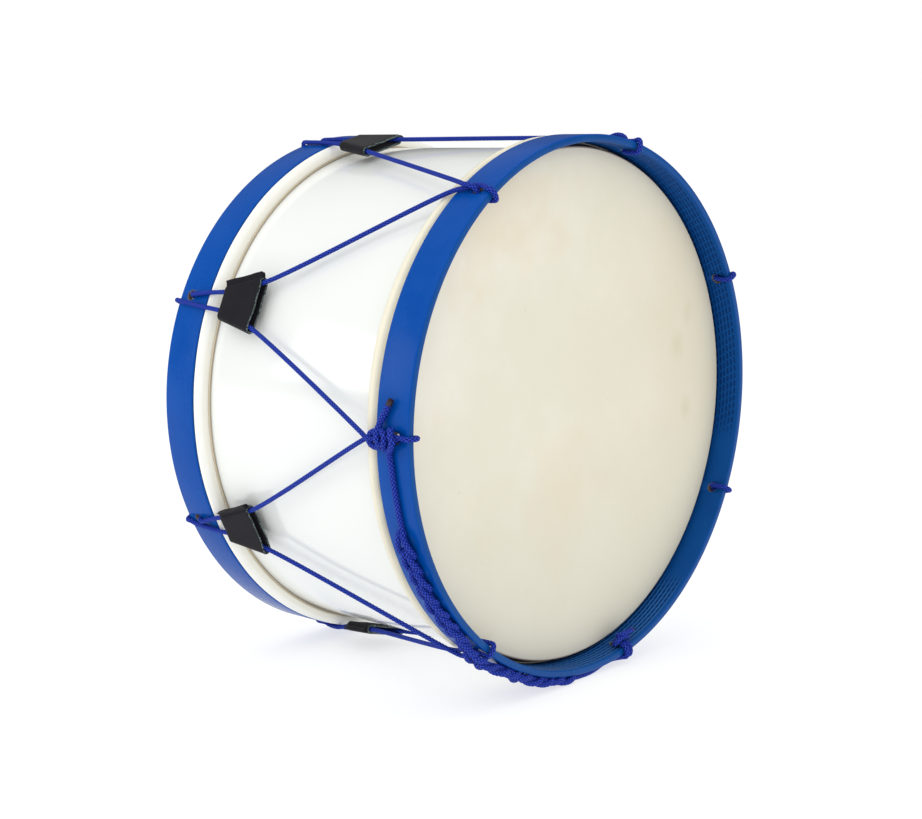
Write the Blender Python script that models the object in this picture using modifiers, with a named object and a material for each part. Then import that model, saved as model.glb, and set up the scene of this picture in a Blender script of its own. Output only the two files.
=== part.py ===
"""A two-headed drum lying on its side: a white shell with two skins, held by blue wooden counterhoops.

Seven V-shaped runs of cord lace the hoops together, and a leather tug slides on each to tighten it.
The axis is level and runs along Y, and the front skin faces -Y. Sizes are in metres.
"""

import math

import bmesh
import bpy
from mathutils import Vector

GAP = 0.0003
TURN_STEPS = 84

# Shell and skins
SHELL_OUTER_RADIUS = 0.175
SHELL_WALL = 0.006
SHELL_EDGE_ROUND = 0.002
DRUM_LENGTH = 0.229
HEAD_RECESS = 0.018
SKIN = 0.001
SKIN_CORNER = 0.0016
SKIN_TUCK = 0.0007

# Hoops
HOOP_WIDTH = 0.0275
HOOP_STOCK = 0.005
HOOP_EDGE_ROUND = 0.0009
HOOP_CLEARANCE = 0.0027
FLESH_HOOP_STOCK = 0.0064
FRONT_FLESH_HOOP_WIDTH = 0.009
REAR_FLESH_HOOP_WIDTH = 0.0043
FLESH_HOOP_ROUND = 0.0016

# Lacing
LACING_RUNS = 7
FIRST_REAR_HOLE_ANGLE = 154.286
HOLE_RADIUS = 0.0034
HOLE_INSET = 0.0105
CORD = 0.0033
CROSSING_BEHIND_HOLE = 0.0095
KNOTTED_CROSSING_BEHIND_HOLE = 0.0195
LEG_OFF_FRONT_HOLE_MIDDLE = 0.0014
LOOP_AT_FRONT_RIM = 0.001

# The holes are drilled by hand: how far each one is off an even spacing, in degrees
FRONT_HOLE_SHIFTS = (-0.4, -2.5, -1.8, 0.4, -0.4, 0.0, 1.0)
REAR_HOLE_SHIFTS = (1.5, 1.3, 0.4, -0.3, 0.2, -1.5, 0.3)
# Where each rear loop lies beside its hole, over the hoop and at the rim
LOOPS_BESIDE_REAR_HOLES = (0.0062, 0.0055, 0.0048, 0.0052, 0.0058, 0.005, 0.0039)
LOOPS_AT_REAR_RIM = (0.0048, 0.005, 0.004, 0.0044, 0.005, 0.004, 0.0014)

# Tugs
TUG_LENGTH = 0.03
TUGS_FROM_REAR_RIM = (0.048, 0.047, 0.045, 0.046, 0.045, 0.044, 0.042)
TUGS_BESIDE_HOLES = (0.0028, 0.003, 0.0024, 0.0026, 0.0029, 0.0001, -0.0006)
TUG_LEATHER = 0.0016
TUG_REAR_LEG_SPREAD = 0.0142
TUG_FRONT_LEG_SPREAD = 0.0325
REAR_LEG_OVER_SHELL = 0.0104
FRONT_LEG_OVER_SHELL = 0.0086
LOWEST_TUG = 5
LOWEST_TUG_OFF_SHELL = 0.0013
TUG_MOUTH = 0.002

# Carrying strap
STRAP_GAP = 0.0005
STRAP_FLAT = 0.0004
CHAIN_WIDTH = 0.011
CHAIN_THICKNESS = 0.0056
CHAIN_STITCHES = 17
CHAIN_WAIST = 0.82
CHAIN_START_ANGLE = -162.0
CHAIN_END_ANGLE = -96.0
CHAIN_SIDES = 10
CHAIN_AT_START = 0.0122
CHAIN_AT_END = 0.0037
TAIL_OVER_RIM_ANGLE = -78.1

SHELL_INNER_RADIUS = SHELL_OUTER_RADIUS - SHELL_WALL
SKIRT_INNER_RADIUS = SHELL_OUTER_RADIUS + GAP
SKIRT_OUTER_RADIUS = SKIRT_INNER_RADIUS + SKIN
HOOP_INNER_RADIUS = SKIRT_OUTER_RADIUS + HOOP_CLEARANCE
HOOP_OUTER_RADIUS = HOOP_INNER_RADIUS + HOOP_STOCK
FLESH_INNER_RADIUS = SKIRT_OUTER_RADIUS + GAP
FLESH_OUTER_RADIUS = FLESH_INNER_RADIUS + FLESH_HOOP_STOCK
SHELL_FRONT = HEAD_RECESS + SKIN + GAP

CORD_OVER_HOOP = HOOP_OUTER_RADIUS + GAP + CORD / 2
CORD_UNDER_HOOP = HOOP_INNER_RADIUS * math.cos(math.pi / TURN_STEPS) - GAP - CORD / 2
CORD_OFF_RIM = GAP + CORD / 2
CORD_OVER_CORD = CORD_OVER_HOOP + GAP + CORD
CORDS_APART = CORD + GAP
STRAP_RADIUS = HOOP_OUTER_RADIUS + STRAP_GAP + CORD / 2
HOLE_SPACING = 360 / LACING_RUNS
KNOT_RADIUS = CORD_OVER_CORD + CORD / 2

# The drum stands on the strap's cord, pressed flat under the front hoop, centred between knot and tug.
AXIS_Z = STRAP_RADIUS + CORD / 2 - STRAP_FLAT
KNOT_REACH = KNOT_RADIUS + CORD / 2
TUG_REACH = SHELL_OUTER_RADIUS + REAR_LEG_OVER_SHELL + CORD / 2 + GAP + TUG_LEATHER
AXIS_X = (KNOT_REACH - TUG_REACH) / 2
FRONT_Y = -DRUM_LENGTH / 2


def spot(radius, angle, along):
    """The point at a radius and an angle (degrees, +X towards +Z), this far behind the front rim."""
    turn = math.radians(angle)
    return Vector((AXIS_X + radius * math.cos(turn), FRONT_Y + along, AXIS_Z + radius * math.sin(turn)))


def degrees_round(length, radius=HOOP_OUTER_RADIUS):
    """The angle that a length takes round the drum."""
    return math.degrees(length / radius)


def clear_scene():
    for thing in list(bpy.data.objects):
        bpy.data.objects.remove(thing, do_unlink=True)


def new_collection(name):
    collection = bpy.data.collections.new(name)
    bpy.context.scene.collection.children.link(collection)
    return collection


def material(name, colour, roughness, metallic=0.0):
    made = bpy.data.materials.new(name)
    made.use_nodes = True
    shader = made.node_tree.nodes["Principled BSDF"]
    shader.inputs["Base Color"].default_value = (*colour, 1.0)
    shader.inputs["Roughness"].default_value = roughness
    shader.inputs["Metallic"].default_value = metallic
    return made


def add_object(name, data, collection, finish):
    made = bpy.data.objects.new(name, data)
    made.data.materials.append(finish)
    collection.objects.link(made)
    return made


def on_axis(made):
    """Lays a turned piece on the drum's axis, with a flat facet lowest and its own Z pointing to the rear."""
    made.location = spot(0, 0, 0)
    made.rotation_euler = (-math.pi / 2, math.pi / TURN_STEPS, 0)
    return made


def turned(name, profile, closed, collection, finish, rounding=0.0):
    """Turns a profile of (radius, distance behind the front rim), which runs down its outer side."""
    mesh = bpy.data.meshes.new(name)
    outline = bmesh.new()
    corners = [outline.verts.new((radius, 0, along)) for radius, along in profile]
    for first, second in zip(corners, corners[1:]):
        outline.edges.new((first, second))
    if closed:
        outline.edges.new((corners[-1], corners[0]))
    outline.to_mesh(mesh)
    outline.free()
    made = on_axis(add_object(name, mesh, collection, finish))
    screw = made.modifiers.new("Turn", "SCREW")
    screw.steps = TURN_STEPS
    screw.render_steps = TURN_STEPS
    screw.use_merge_vertices = True
    screw.merge_threshold = 0.00001
    screw.use_smooth_shade = True
    if rounding:
        bevel = made.modifiers.new("Round edges", "BEVEL")
        bevel.width = rounding
        bevel.segments = 1
        bevel.limit_method = "ANGLE"
        bevel.angle_limit = math.radians(40)
    return made


def at_rear(profile):
    """The same profile turned end for end, measured from the rear rim."""
    return [(radius, DRUM_LENGTH - along) for radius, along in reversed(profile)]


def make_shell(collection, finish):
    rear = DRUM_LENGTH - SHELL_FRONT
    profile = [
        (SHELL_OUTER_RADIUS, rear - SHELL_EDGE_ROUND),
        (SHELL_OUTER_RADIUS, SHELL_FRONT + SHELL_EDGE_ROUND),
        (SHELL_OUTER_RADIUS - SHELL_EDGE_ROUND, SHELL_FRONT),
        (SHELL_INNER_RADIUS, SHELL_FRONT),
        (SHELL_INNER_RADIUS, rear),
        (SHELL_OUTER_RADIUS - SHELL_EDGE_ROUND, rear),
    ]
    return turned("shell", profile, True, collection, finish)


def head_profile(flesh_hoop_width):
    """A skin stretched over the shell's edge, whose skirt ends just past the flesh hoop."""
    skirt_end = HOOP_WIDTH + GAP + flesh_hoop_width + SKIN_TUCK
    inner = HEAD_RECESS + SKIN
    return [
        (0, inner),
        (SKIRT_INNER_RADIUS - SKIN_CORNER, inner),
        (SKIRT_INNER_RADIUS, inner + SKIN_CORNER),
        (SKIRT_INNER_RADIUS, skirt_end),
        (SKIRT_OUTER_RADIUS, skirt_end),
        (SKIRT_OUTER_RADIUS, HEAD_RECESS + SKIN_CORNER),
        (SKIRT_OUTER_RADIUS - SKIN_CORNER, HEAD_RECESS),
        (0, HEAD_RECESS),
    ]


def flesh_hoop_profile(width):
    """A hoop that grips the skin, behind the counterhoop's edge, with a rounded crest."""
    near = HOOP_WIDTH + GAP
    far = near + width
    return [
        (FLESH_INNER_RADIUS, far),
        (FLESH_OUTER_RADIUS - FLESH_HOOP_ROUND, far),
        (FLESH_OUTER_RADIUS, far - FLESH_HOOP_ROUND),
        (FLESH_OUTER_RADIUS, near + FLESH_HOOP_ROUND),
        (FLESH_OUTER_RADIUS - FLESH_HOOP_ROUND, near),
        (FLESH_INNER_RADIUS, near),
    ]


def counterhoop_profile():
    return [
        (HOOP_OUTER_RADIUS, HOOP_WIDTH),
        (HOOP_OUTER_RADIUS, 0),
        (HOOP_INNER_RADIUS, 0),
        (HOOP_INNER_RADIUS, HOOP_WIDTH),
    ]


def make_hole_cutter(name, angles, along, collection):
    """The drills for one hoop's lacing holes, as one cutter."""
    mesh = bpy.data.meshes.new(name)
    drills = bmesh.new()
    middle = (HOOP_INNER_RADIUS + HOOP_OUTER_RADIUS) / 2
    for angle in angles:
        place = spot(middle, angle, along)
        outward = spot(middle + 1, angle, along) - place
        made = bmesh.ops.create_cone(
            drills,
            cap_ends=True,
            segments=16,
            radius1=HOLE_RADIUS,
            radius2=HOLE_RADIUS,
            depth=HOOP_STOCK * 3,
        )
        turn = Vector((0, 0, 1)).rotation_difference(outward).to_matrix().to_4x4()
        bmesh.ops.transform(drills, matrix=turn, verts=made["verts"])
        bmesh.ops.translate(drills, vec=place, verts=made["verts"])
    drills.to_mesh(mesh)
    drills.free()
    cutter = bpy.data.objects.new(name, mesh)
    cutter.hide_render = True
    cutter.display_type = "WIRE"
    collection.objects.link(cutter)
    return cutter


def cut(made, cutter, name):
    boolean = made.modifiers.new(name, "BOOLEAN")
    boolean.operation = "DIFFERENCE"
    boolean.object = cutter
    return made


def make_cord(name, points, collection, finish):
    """A cord through world points, as a mesh with closed ends."""
    curve = bpy.data.curves.new(name, "CURVE")
    curve.dimensions = "3D"
    curve.bevel_depth = CORD / 2
    curve.bevel_resolution = 2
    curve.use_fill_caps = True
    spline = curve.splines.new("POLY")
    spline.points.add(len(points) - 1)
    for point, place in zip(spline.points, points):
        point.co = (*place, 1)
    guide = bpy.data.objects.new(name + "_guide", curve)
    collection.objects.link(guide)
    bpy.context.view_layer.update()
    graph = bpy.context.evaluated_depsgraph_get()
    mesh = bpy.data.meshes.new_from_object(guide.evaluated_get(graph))
    place = guide.matrix_world.copy()
    bpy.data.objects.remove(guide, do_unlink=True)
    caps = bmesh.new()
    caps.from_mesh(mesh)
    bmesh.ops.remove_doubles(caps, verts=caps.verts, dist=0.00001)
    bmesh.ops.recalc_face_normals(caps, faces=caps.faces)
    caps.to_mesh(mesh)
    caps.free()
    made = add_object(name, mesh, collection, finish)
    made.matrix_world = place
    mesh.shade_smooth()
    mesh.set_sharp_from_angle(angle=math.radians(40))
    return made


def smooth_route(route, pieces):
    """Points read from a smooth curve through a route's own (radius, angle, along) points."""
    ends = [route[0], *route, route[-1]]
    points = []
    for before, start, end, after in zip(ends, ends[1:], ends[2:], ends[3:]):
        for step in range(pieces):
            t = step / pieces
            spots = []
            for a, b, c, d in zip(before, start, end, after):
                bend = (2 * a - 5 * b + 4 * c - d) * t * t + (3 * b - a - 3 * c + d) * t * t * t
                spots.append((2 * b + (c - a) * t + bend) / 2)
            points.append(spot(*spots))
    points.append(spot(*route[-1]))
    return points


def of_run(values, run):
    """The value of one run of lacing, from a tuple with one value for each."""
    return values[run % len(values)]


def front_hole_angle(number):
    """Where a front hole is: number 0 holds the first knot, and the others follow downwards in angle."""
    even = FIRST_REAR_HOLE_ANGLE + HOLE_SPACING / 2 - number * HOLE_SPACING
    return even + of_run(FRONT_HOLE_SHIFTS, number % LACING_RUNS)


def rear_hole_angle(run):
    return FIRST_REAR_HOLE_ANGLE - run * HOLE_SPACING + of_run(REAR_HOLE_SHIFTS, run)


def over_rim(angle, rim, inwards):
    """The turn of a cord round a hoop's rim: rim is the rim's place along the drum, inwards +1 or -1."""
    route = []
    for step in range(4):
        turn = math.radians(30 * step)
        radius = HOOP_OUTER_RADIUS + CORD_OFF_RIM * math.cos(turn)
        route.append((radius, angle, rim - inwards * CORD_OFF_RIM * math.sin(turn)))
    inner = CORD_UNDER_HOOP + CORD_OFF_RIM
    for step in range(4):
        turn = math.radians(30 * step)
        radius = inner - CORD_OFF_RIM * math.sin(turn)
        route.append((radius, angle, rim - inwards * CORD_OFF_RIM * math.cos(turn)))
    return route


def into_hole(angle, beside, rim, inwards):
    """The run inside a hoop, from beside the hole to the middle of the wall within it."""
    hole = rim + inwards * HOLE_INSET
    middle = (HOOP_INNER_RADIUS + HOOP_OUTER_RADIUS) / 2
    return [
        (CORD_UNDER_HOOP, angle + 0.62 * beside, hole - inwards * 0.0055),
        (CORD_UNDER_HOOP + 0.0003, angle + 0.22 * beside, hole - inwards * 0.0016),
        (HOOP_INNER_RADIUS - 0.0011, angle, hole - inwards * 0.0001),
        (HOOP_INNER_RADIUS + 0.0006, angle, hole),
        (middle, angle, hole),
    ]


def tug_rear_edge(run):
    return DRUM_LENGTH - of_run(TUGS_FROM_REAR_RIM, run)


def tug_centre_angle(run):
    return rear_hole_angle(run) + degrees_round(of_run(TUGS_BESIDE_HOLES, run))


def leg_radii(run):
    """How far out the legs are at a tug's rear and front. The lowest tug is pressed towards the shell."""
    rear = SHELL_OUTER_RADIUS + REAR_LEG_OVER_SHELL
    front = SHELL_OUTER_RADIUS + FRONT_LEG_OVER_SHELL
    if run != LOWEST_TUG:
        return rear, front
    half_turn = TUG_FRONT_LEG_SPREAD / 2 / front
    leather_inside = front * math.cos(half_turn) - CORD / 2 - GAP - TUG_LEATHER
    press = leather_inside - SHELL_OUTER_RADIUS - LOWEST_TUG_OFF_SHELL
    return rear - press, front - press


def out_of_front_hole(number):
    """A leg's start: out of its hole, then over the leg that passes beside the hole."""
    hole = front_hole_angle(number) + degrees_round(LEG_OFF_FRONT_HOLE_MIDDLE)
    over = CORD_OVER_CORD
    outside = HOOP_OUTER_RADIUS
    wall_middle = (HOOP_INNER_RADIUS + HOOP_OUTER_RADIUS) / 2
    start = [
        (wall_middle + GAP, hole, HOLE_INSET),
        (outside - 0.0003, hole, HOLE_INSET),
    ]
    if number == 0:
        crossing = HOLE_INSET + KNOTTED_CROSSING_BEHIND_HOLE
        return [
            *start,
            (CORD_OVER_HOOP - 0.0008, hole, HOLE_INSET + 0.0006),
            (CORD_OVER_HOOP + 0.0001, hole + 0.02, HOLE_INSET + 0.0025),
            (CORD_OVER_HOOP + 0.0002, hole + 0.03, crossing - 0.0095),
            (over - 0.0015, hole, crossing - 0.0048),
            (over - 0.0001, hole - 0.1, crossing - 0.001),
            (over + 0.0001, hole - 0.35, crossing + 0.0015),
            (over - 0.0001, hole - 0.9, crossing + 0.0045),
        ]
    crossing = HOLE_INSET + CROSSING_BEHIND_HOLE
    return [
        *start,
        (outside + 0.0019, hole, HOLE_INSET + 0.0004),
        (outside + 0.0037, hole + 0.02, HOLE_INSET + 0.0018),
        (over - 0.0007, hole + 0.02, HOLE_INSET + 0.0038),
        (over - 0.0001, hole, crossing - 0.0032),
        (over + 0.0001, hole - 0.1, crossing),
        (over - 0.0001, hole - 0.6, crossing + 0.004),
    ]


def into_front_hole(number):
    """A leg's end: beside the hole, over the rim and back into the hole from inside."""
    hole = front_hole_angle(number)
    leg = degrees_round(LEG_OFF_FRONT_HOLE_MIDDLE)
    beside = degrees_round(CORDS_APART) - leg
    rim = degrees_round(LOOP_AT_FRONT_RIM)
    past_hole = KNOTTED_CROSSING_BEHIND_HOLE if number == LACING_RUNS else CROSSING_BEHIND_HOLE
    crossing = HOLE_INSET + past_hole
    return [
        (CORD_OVER_HOOP + 0.0003, hole + 1.4, crossing + 0.0082),
        (CORD_OVER_HOOP, hole + 0.15, crossing),
        (CORD_OVER_HOOP, hole - 0.55 * beside, crossing - 0.004),
        (CORD_OVER_HOOP, hole - 1.03 * beside, crossing - 0.0078),
        (CORD_OVER_HOOP, hole - 1.03 * beside, HOLE_INSET + 0.0008),
        (CORD_OVER_HOOP, hole - 0.85 * beside, HOLE_INSET - 0.0033),
        (CORD_OVER_HOOP, hole - 0.05 * beside, 0.0032),
        *over_rim(hole + rim, 0, 1),
        *into_hole(hole + leg, rim - leg, 0, 1),
    ]


def lacing_route(run):
    """One V of lacing, from its own front hole through the tug and the rear hole to the next front hole."""
    hole = rear_hole_angle(run)
    beside = degrees_round(of_run(LOOPS_BESIDE_REAR_HOLES, run))
    rim = degrees_round(of_run(LOOPS_AT_REAR_RIM, run))
    centre = tug_centre_angle(run)
    rear_radius, front_radius = leg_radii(run)
    tug_rear = tug_rear_edge(run)
    tug_front = tug_rear - TUG_LENGTH
    rear_half = degrees_round(TUG_REAR_LEG_SPREAD / 2, rear_radius)
    front_half = degrees_round(TUG_FRONT_LEG_SPREAD / 2, front_radius)
    rear_hole = DRUM_LENGTH - HOLE_INSET
    rear_edge = DRUM_LENGTH - HOOP_WIDTH
    clear_of_hoop = 0.001

    mouth = TUG_MOUTH / TUG_LENGTH
    bend_radius = front_radius + mouth * (front_radius - rear_radius)
    bend_half = front_half + mouth * (front_half - rear_half)
    edge_share = (rear_edge - clear_of_hoop - tug_rear) / (rear_hole - tug_rear)
    loop_at_edge = centre + rear_half + edge_share * (hole + beside - centre - rear_half)
    leg_at_edge = centre - rear_half + edge_share * (hole - centre + rear_half)
    first_leg = [
        (bend_radius, centre + bend_half, tug_front - TUG_MOUTH),
        (rear_radius, centre + rear_half, tug_rear),
        (CORD_OVER_HOOP + 0.0001, loop_at_edge, rear_edge - clear_of_hoop),
    ]
    rear_turn = [
        (CORD_OVER_HOOP, hole + beside, rear_hole - 0.0015),
        (CORD_OVER_HOOP, hole + 0.8 * beside + 0.2 * rim, rear_hole + 0.0034),
        (CORD_OVER_HOOP, hole + 0.2 * beside + 0.8 * rim, DRUM_LENGTH - 0.003),
        *over_rim(hole + rim, DRUM_LENGTH, -1),
        *into_hole(hole, rim, DRUM_LENGTH, -1),
        (HOOP_OUTER_RADIUS + 0.0002, hole, rear_hole - 0.0002),
        (HOOP_OUTER_RADIUS + 0.0015, hole, rear_hole - 0.0015),
        (CORD_OVER_HOOP + 0.0002, hole, rear_hole - 0.0044),
        (CORD_OVER_HOOP + 0.0001, leg_at_edge, rear_edge - clear_of_hoop),
    ]
    second_leg = [
        (rear_radius, centre - rear_half, tug_rear),
        (bend_radius, centre - bend_half, tug_front - TUG_MOUTH),
    ]
    return [
        *out_of_front_hole(run),
        *first_leg,
        *rear_turn,
        *second_leg,
        *into_front_hole(run + 1),
    ]


def tug_ring(mesh, run, half_width, half_height, radius, along):
    """One loop of the tug's leather, drawn round both legs of cord: a flat ring with round ends."""
    centre = math.radians(tug_centre_angle(run))
    sideways = Vector((-math.sin(centre), 0, math.cos(centre)))
    outwards = Vector((math.cos(centre), 0, math.sin(centre)))
    middle = spot(radius, tug_centre_angle(run), along)
    corners = []
    for end in (1, -1):
        for step in range(7):
            turn = math.radians(-90 + 30 * step) if end > 0 else math.radians(90 + 30 * step)
            across = end * (half_width - half_height) + half_height * math.cos(turn)
            place = middle + sideways * across + outwards * half_height * math.sin(turn)
            corners.append(mesh.verts.new(place))
    return [mesh.edges.new(pair) for pair in zip(corners, corners[1:] + corners[:1])]


def make_tug(run, collection, finish):
    """A leather loop round both legs of one V, wide at the front: a sleeve with walls of one leather."""
    name = "tug_{}".format(run + 1)
    inner_height = CORD / 2 + GAP
    tug_rear = tug_rear_edge(run)
    rear_radius, front_radius = leg_radii(run)
    rear_half_turn = TUG_REAR_LEG_SPREAD / 2 / rear_radius
    front_half_turn = TUG_FRONT_LEG_SPREAD / 2 / front_radius
    sections = [
        (TUG_REAR_LEG_SPREAD, rear_radius * math.cos(rear_half_turn), tug_rear),
        (TUG_FRONT_LEG_SPREAD, front_radius * math.cos(front_half_turn), tug_rear - TUG_LENGTH),
    ]
    sleeve = bmesh.new()
    rings = []
    for leg_spread, radius, along in sections:
        half_width = leg_spread / 2 + inner_height
        rings.append(tug_ring(sleeve, run, half_width, inner_height, radius, along))
    bmesh.ops.bridge_loops(sleeve, edges=[*rings[0], *rings[1]])
    bmesh.ops.recalc_face_normals(sleeve, faces=sleeve.faces)
    origin = spot(sections[1][1], tug_centre_angle(run), tug_rear - TUG_LENGTH / 2)
    bmesh.ops.translate(sleeve, vec=-origin, verts=sleeve.verts)
    mesh = bpy.data.meshes.new(name)
    sleeve.to_mesh(mesh)
    sleeve.free()
    made = add_object(name, mesh, collection, finish)
    made.location = origin
    leather = made.modifiers.new("Leather", "SOLIDIFY")
    leather.thickness = TUG_LEATHER
    leather.offset = 1.0
    leather.use_even_offset = True
    return made


def strap_along(angle):
    """How far behind the front rim the strap lies at an angle: it drifts to the rim as it nears the floor."""
    start, end = CHAIN_START_ANGLE, CHAIN_END_ANGLE
    share = min(1, max(0, (angle - start) / (end - start)))
    ease = min(1, share / 0.55)
    return CHAIN_AT_START + (CHAIN_AT_END - CHAIN_AT_START) * ease * ease * (3 - 2 * ease)


def strap_lift(angle):
    """How far the chain rises to clear the turn of lacing that it crosses."""
    crossed = front_hole_angle(6)
    away = abs(angle - crossed)
    full, none = 1.6, 8.0
    share = min(1, max(0, (none - away) / (none - full)))
    rise = CORD_OVER_HOOP + CORD / 2 + GAP - HOOP_OUTER_RADIUS - STRAP_GAP
    return rise * share * share * (3 - 2 * share)


def make_chain(collection, finish):
    """The surplus cord looped into a chain: a flattened strap, wide at each loop and narrow between."""
    mesh = bpy.data.meshes.new("strap_chain")
    strap = bmesh.new()
    rings = []
    stations = 4 * CHAIN_STITCHES + 1
    for station in range(stations):
        share = station / (stations - 1)
        angle = CHAIN_START_ANGLE + share * (CHAIN_END_ANGLE - CHAIN_START_ANGLE)
        size = (CHAIN_WAIST, 0.97, 1.0, 0.93)[station % 4]
        radius = HOOP_OUTER_RADIUS + STRAP_GAP + CHAIN_THICKNESS / 2 + strap_lift(angle)
        corners = []
        for side in range(CHAIN_SIDES):
            turn = 2 * math.pi * side / CHAIN_SIDES
            across = size * CHAIN_WIDTH / 2 * math.cos(turn)
            out = CHAIN_THICKNESS / 2 * math.sin(turn)
            corners.append(strap.verts.new(spot(radius + out, angle, strap_along(angle) + across)))
        rings.append([strap.edges.new(pair) for pair in zip(corners, corners[1:] + corners[:1])])
        if station in (0, stations - 1):
            strap.faces.new(corners)
    for first, second in zip(rings, rings[1:]):
        bmesh.ops.bridge_loops(strap, edges=[*first, *second])
    bmesh.ops.recalc_face_normals(strap, faces=strap.faces)
    strap.to_mesh(mesh)
    strap.free()
    mesh.shade_smooth()
    return add_object("strap_chain", mesh, collection, finish)


def make_floor_cutter(collection):
    """A block under the floor plane, which presses the strap flat."""
    block = 0.1
    bpy.ops.mesh.primitive_cube_add(size=block, location=(AXIS_X, FRONT_Y, -block / 2))
    cutter = bpy.context.object
    cutter.name = "floor_block"
    for holder in list(cutter.users_collection):
        holder.objects.unlink(cutter)
    collection.objects.link(cutter)
    cutter.hide_render = True
    cutter.display_type = "WIRE"
    return cutter


def lead_route():
    """The single cord from the first knot down to the chain."""
    first = front_hole_angle(0) - 360 + 4.2
    last = CHAIN_START_ANGLE - degrees_round(GAP)
    return [
        (STRAP_RADIUS, first + share * (last - first), strap_along(CHAIN_START_ANGLE))
        for share in (0, 0.2, 0.4, 0.6, 0.8, 1)
    ]


def tail_route():
    """The single cord from the chain's end along the hoop and over the front rim."""
    rim_angle = TAIL_OVER_RIM_ANGLE
    start = CHAIN_END_ANGLE + degrees_round(GAP)
    across = strap_along(CHAIN_END_ANGLE)
    return [
        (STRAP_RADIUS, start, across),
        (STRAP_RADIUS, start + 2.6, across - 0.0002),
        (STRAP_RADIUS, start + 6, across + 0.0002),
        (STRAP_RADIUS, start + 9.6, across + 0.0022),
        (STRAP_RADIUS, start + 12, across + 0.0037),
        (STRAP_RADIUS, rim_angle - 4, across + 0.004),
        (STRAP_RADIUS, rim_angle - 2.2, across + 0.003),
        (STRAP_RADIUS, rim_angle - 1.1, across + 0.0008),
        (STRAP_RADIUS - 0.0001, rim_angle - 0.3, across - 0.002),
        *over_rim(rim_angle, 0, 1),
        (CORD_UNDER_HOOP, rim_angle + 0.05, 0.0025),
    ]


def start_knot_route():
    """The first knot: three passes over the two legs by the hole, with the cut end pointing up."""
    hole = front_hole_angle(0)
    over = CORD_OVER_CORD + 0.0001
    face = CORD_OVER_HOOP + 0.0001
    lead = strap_along(CHAIN_START_ANGLE)
    return [
        (face, hole - 7.4, 0.014),
        (face, hole - 5.2, 0.0175),
        (face + 0.0004, hole - 3.4, 0.0215),
        (over + 0.0002, hole - 2.0, 0.0249),
        (KNOT_RADIUS, hole - 0.7, 0.0246),
        (KNOT_RADIUS, hole + 0.5, 0.0227),
        (over + 0.0006, hole + 1.5, 0.0208),
        (over - 0.0028, hole + 2.45, 0.0192),
        (over - 0.0006, hole + 1.5, 0.0172),
        (over, hole, 0.0166),
        (over - 0.0006, hole - 1.6, 0.0163),
        (over - 0.0028, hole - 2.5, 0.0144),
        (over - 0.0006, hole - 1.6, 0.0126),
        (over, hole, 0.0124),
        (over - 0.0006, hole + 1.5, lead + 0.0001),
        (face + 0.001, hole + 2.7, lead),
        (STRAP_RADIUS, hole + 4.2 - degrees_round(GAP), lead),
    ]


def end_knot_route():
    """The last knot, inside the front hoop: a turn round the lacing's inner run, then the cut end."""
    start = TAIL_OVER_RIM_ANGLE
    under = CORD_UNDER_HOOP
    return [
        (under, start + 0.05, 0.0025 + GAP),
        (under - 0.0001, start + 0.04, 0.0042),
        (under - 0.0014, start - 0.1, 0.0072),
        (under - 0.0039, start + 0.6, 0.0088),
        (under - 0.0043, start + 1.9, 0.0068),
        (under - 0.0042, start + 2.9, 0.004),
        (under - 0.0043, start + 2.3, 0.0008),
        (under - 0.0055, start + 0.9, -0.0006),
        (under - 0.0076, start - 0.2, 0.0012),
        (under - 0.0084, start + 0.6, 0.0044),
        (under - 0.0084, start + 2.2, 0.0056),
        (under - 0.0080, start + 4.2, 0.0052),
    ]


def main():
    clear_scene()
    drum = new_collection("drum")
    cutters = new_collection("cutters")
    white = material("white_lacquer", (0.90, 0.92, 0.90), 0.18)
    blue = material("blue_lacquer", (0.006, 0.07, 0.36), 0.25)
    skin = material("skin", (0.70, 0.68, 0.58), 0.55)
    cord = material("blue_cord", (0.012, 0.045, 0.36), 0.8)
    leather = material("black_leather", (0.022, 0.021, 0.026), 0.6)

    make_shell(drum, white)
    turned("front_head", head_profile(FRONT_FLESH_HOOP_WIDTH), False, drum, skin)
    turned("rear_head", at_rear(head_profile(REAR_FLESH_HOOP_WIDTH)), False, drum, skin)
    turned("front_flesh_hoop", flesh_hoop_profile(FRONT_FLESH_HOOP_WIDTH), True, drum, skin)
    turned("rear_flesh_hoop", at_rear(flesh_hoop_profile(REAR_FLESH_HOOP_WIDTH)), True, drum, skin)

    rear_angles = [rear_hole_angle(run) for run in range(LACING_RUNS)]
    front_angles = [front_hole_angle(number) for number in range(LACING_RUNS)]
    front = turned("front_counterhoop", counterhoop_profile(), True, drum, blue, HOOP_EDGE_ROUND)
    cut(front, make_hole_cutter("front_drills", front_angles, HOLE_INSET, cutters), "Lacing holes")
    rear = turned("rear_counterhoop", at_rear(counterhoop_profile()), True, drum, blue, HOOP_EDGE_ROUND)
    rear_drills = make_hole_cutter("rear_drills", rear_angles, DRUM_LENGTH - HOLE_INSET, cutters)
    cut(rear, rear_drills, "Lacing holes")

    for run in range(LACING_RUNS):
        route = [spot(*place) for place in lacing_route(run)]
        make_cord("lacing_{}".format(run + 1), route, drum, cord)
        make_tug(run, drum, leather)

    floor = make_floor_cutter(cutters)
    make_cord("start_knot", smooth_route(start_knot_route(), 2), drum, cord)
    make_cord("strap_lead", [spot(*place) for place in lead_route()], drum, cord)
    cut(make_chain(drum, cord), floor, "Pressed flat")
    cut(make_cord("strap_tail", [spot(*place) for place in tail_route()], drum, cord), floor, "Pressed flat")
    make_cord("end_knot", smooth_route(end_knot_route(), 2), drum, cord)


main()
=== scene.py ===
"""A rope-tensioned drum lying on its side, dressed for a studio picture. Sizes are in metres."""

from math import atan2, cos, degrees, hypot, pi, radians, sin, tau

import bmesh
import bpy
import numpy as np
from mathutils import Matrix, Vector


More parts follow.
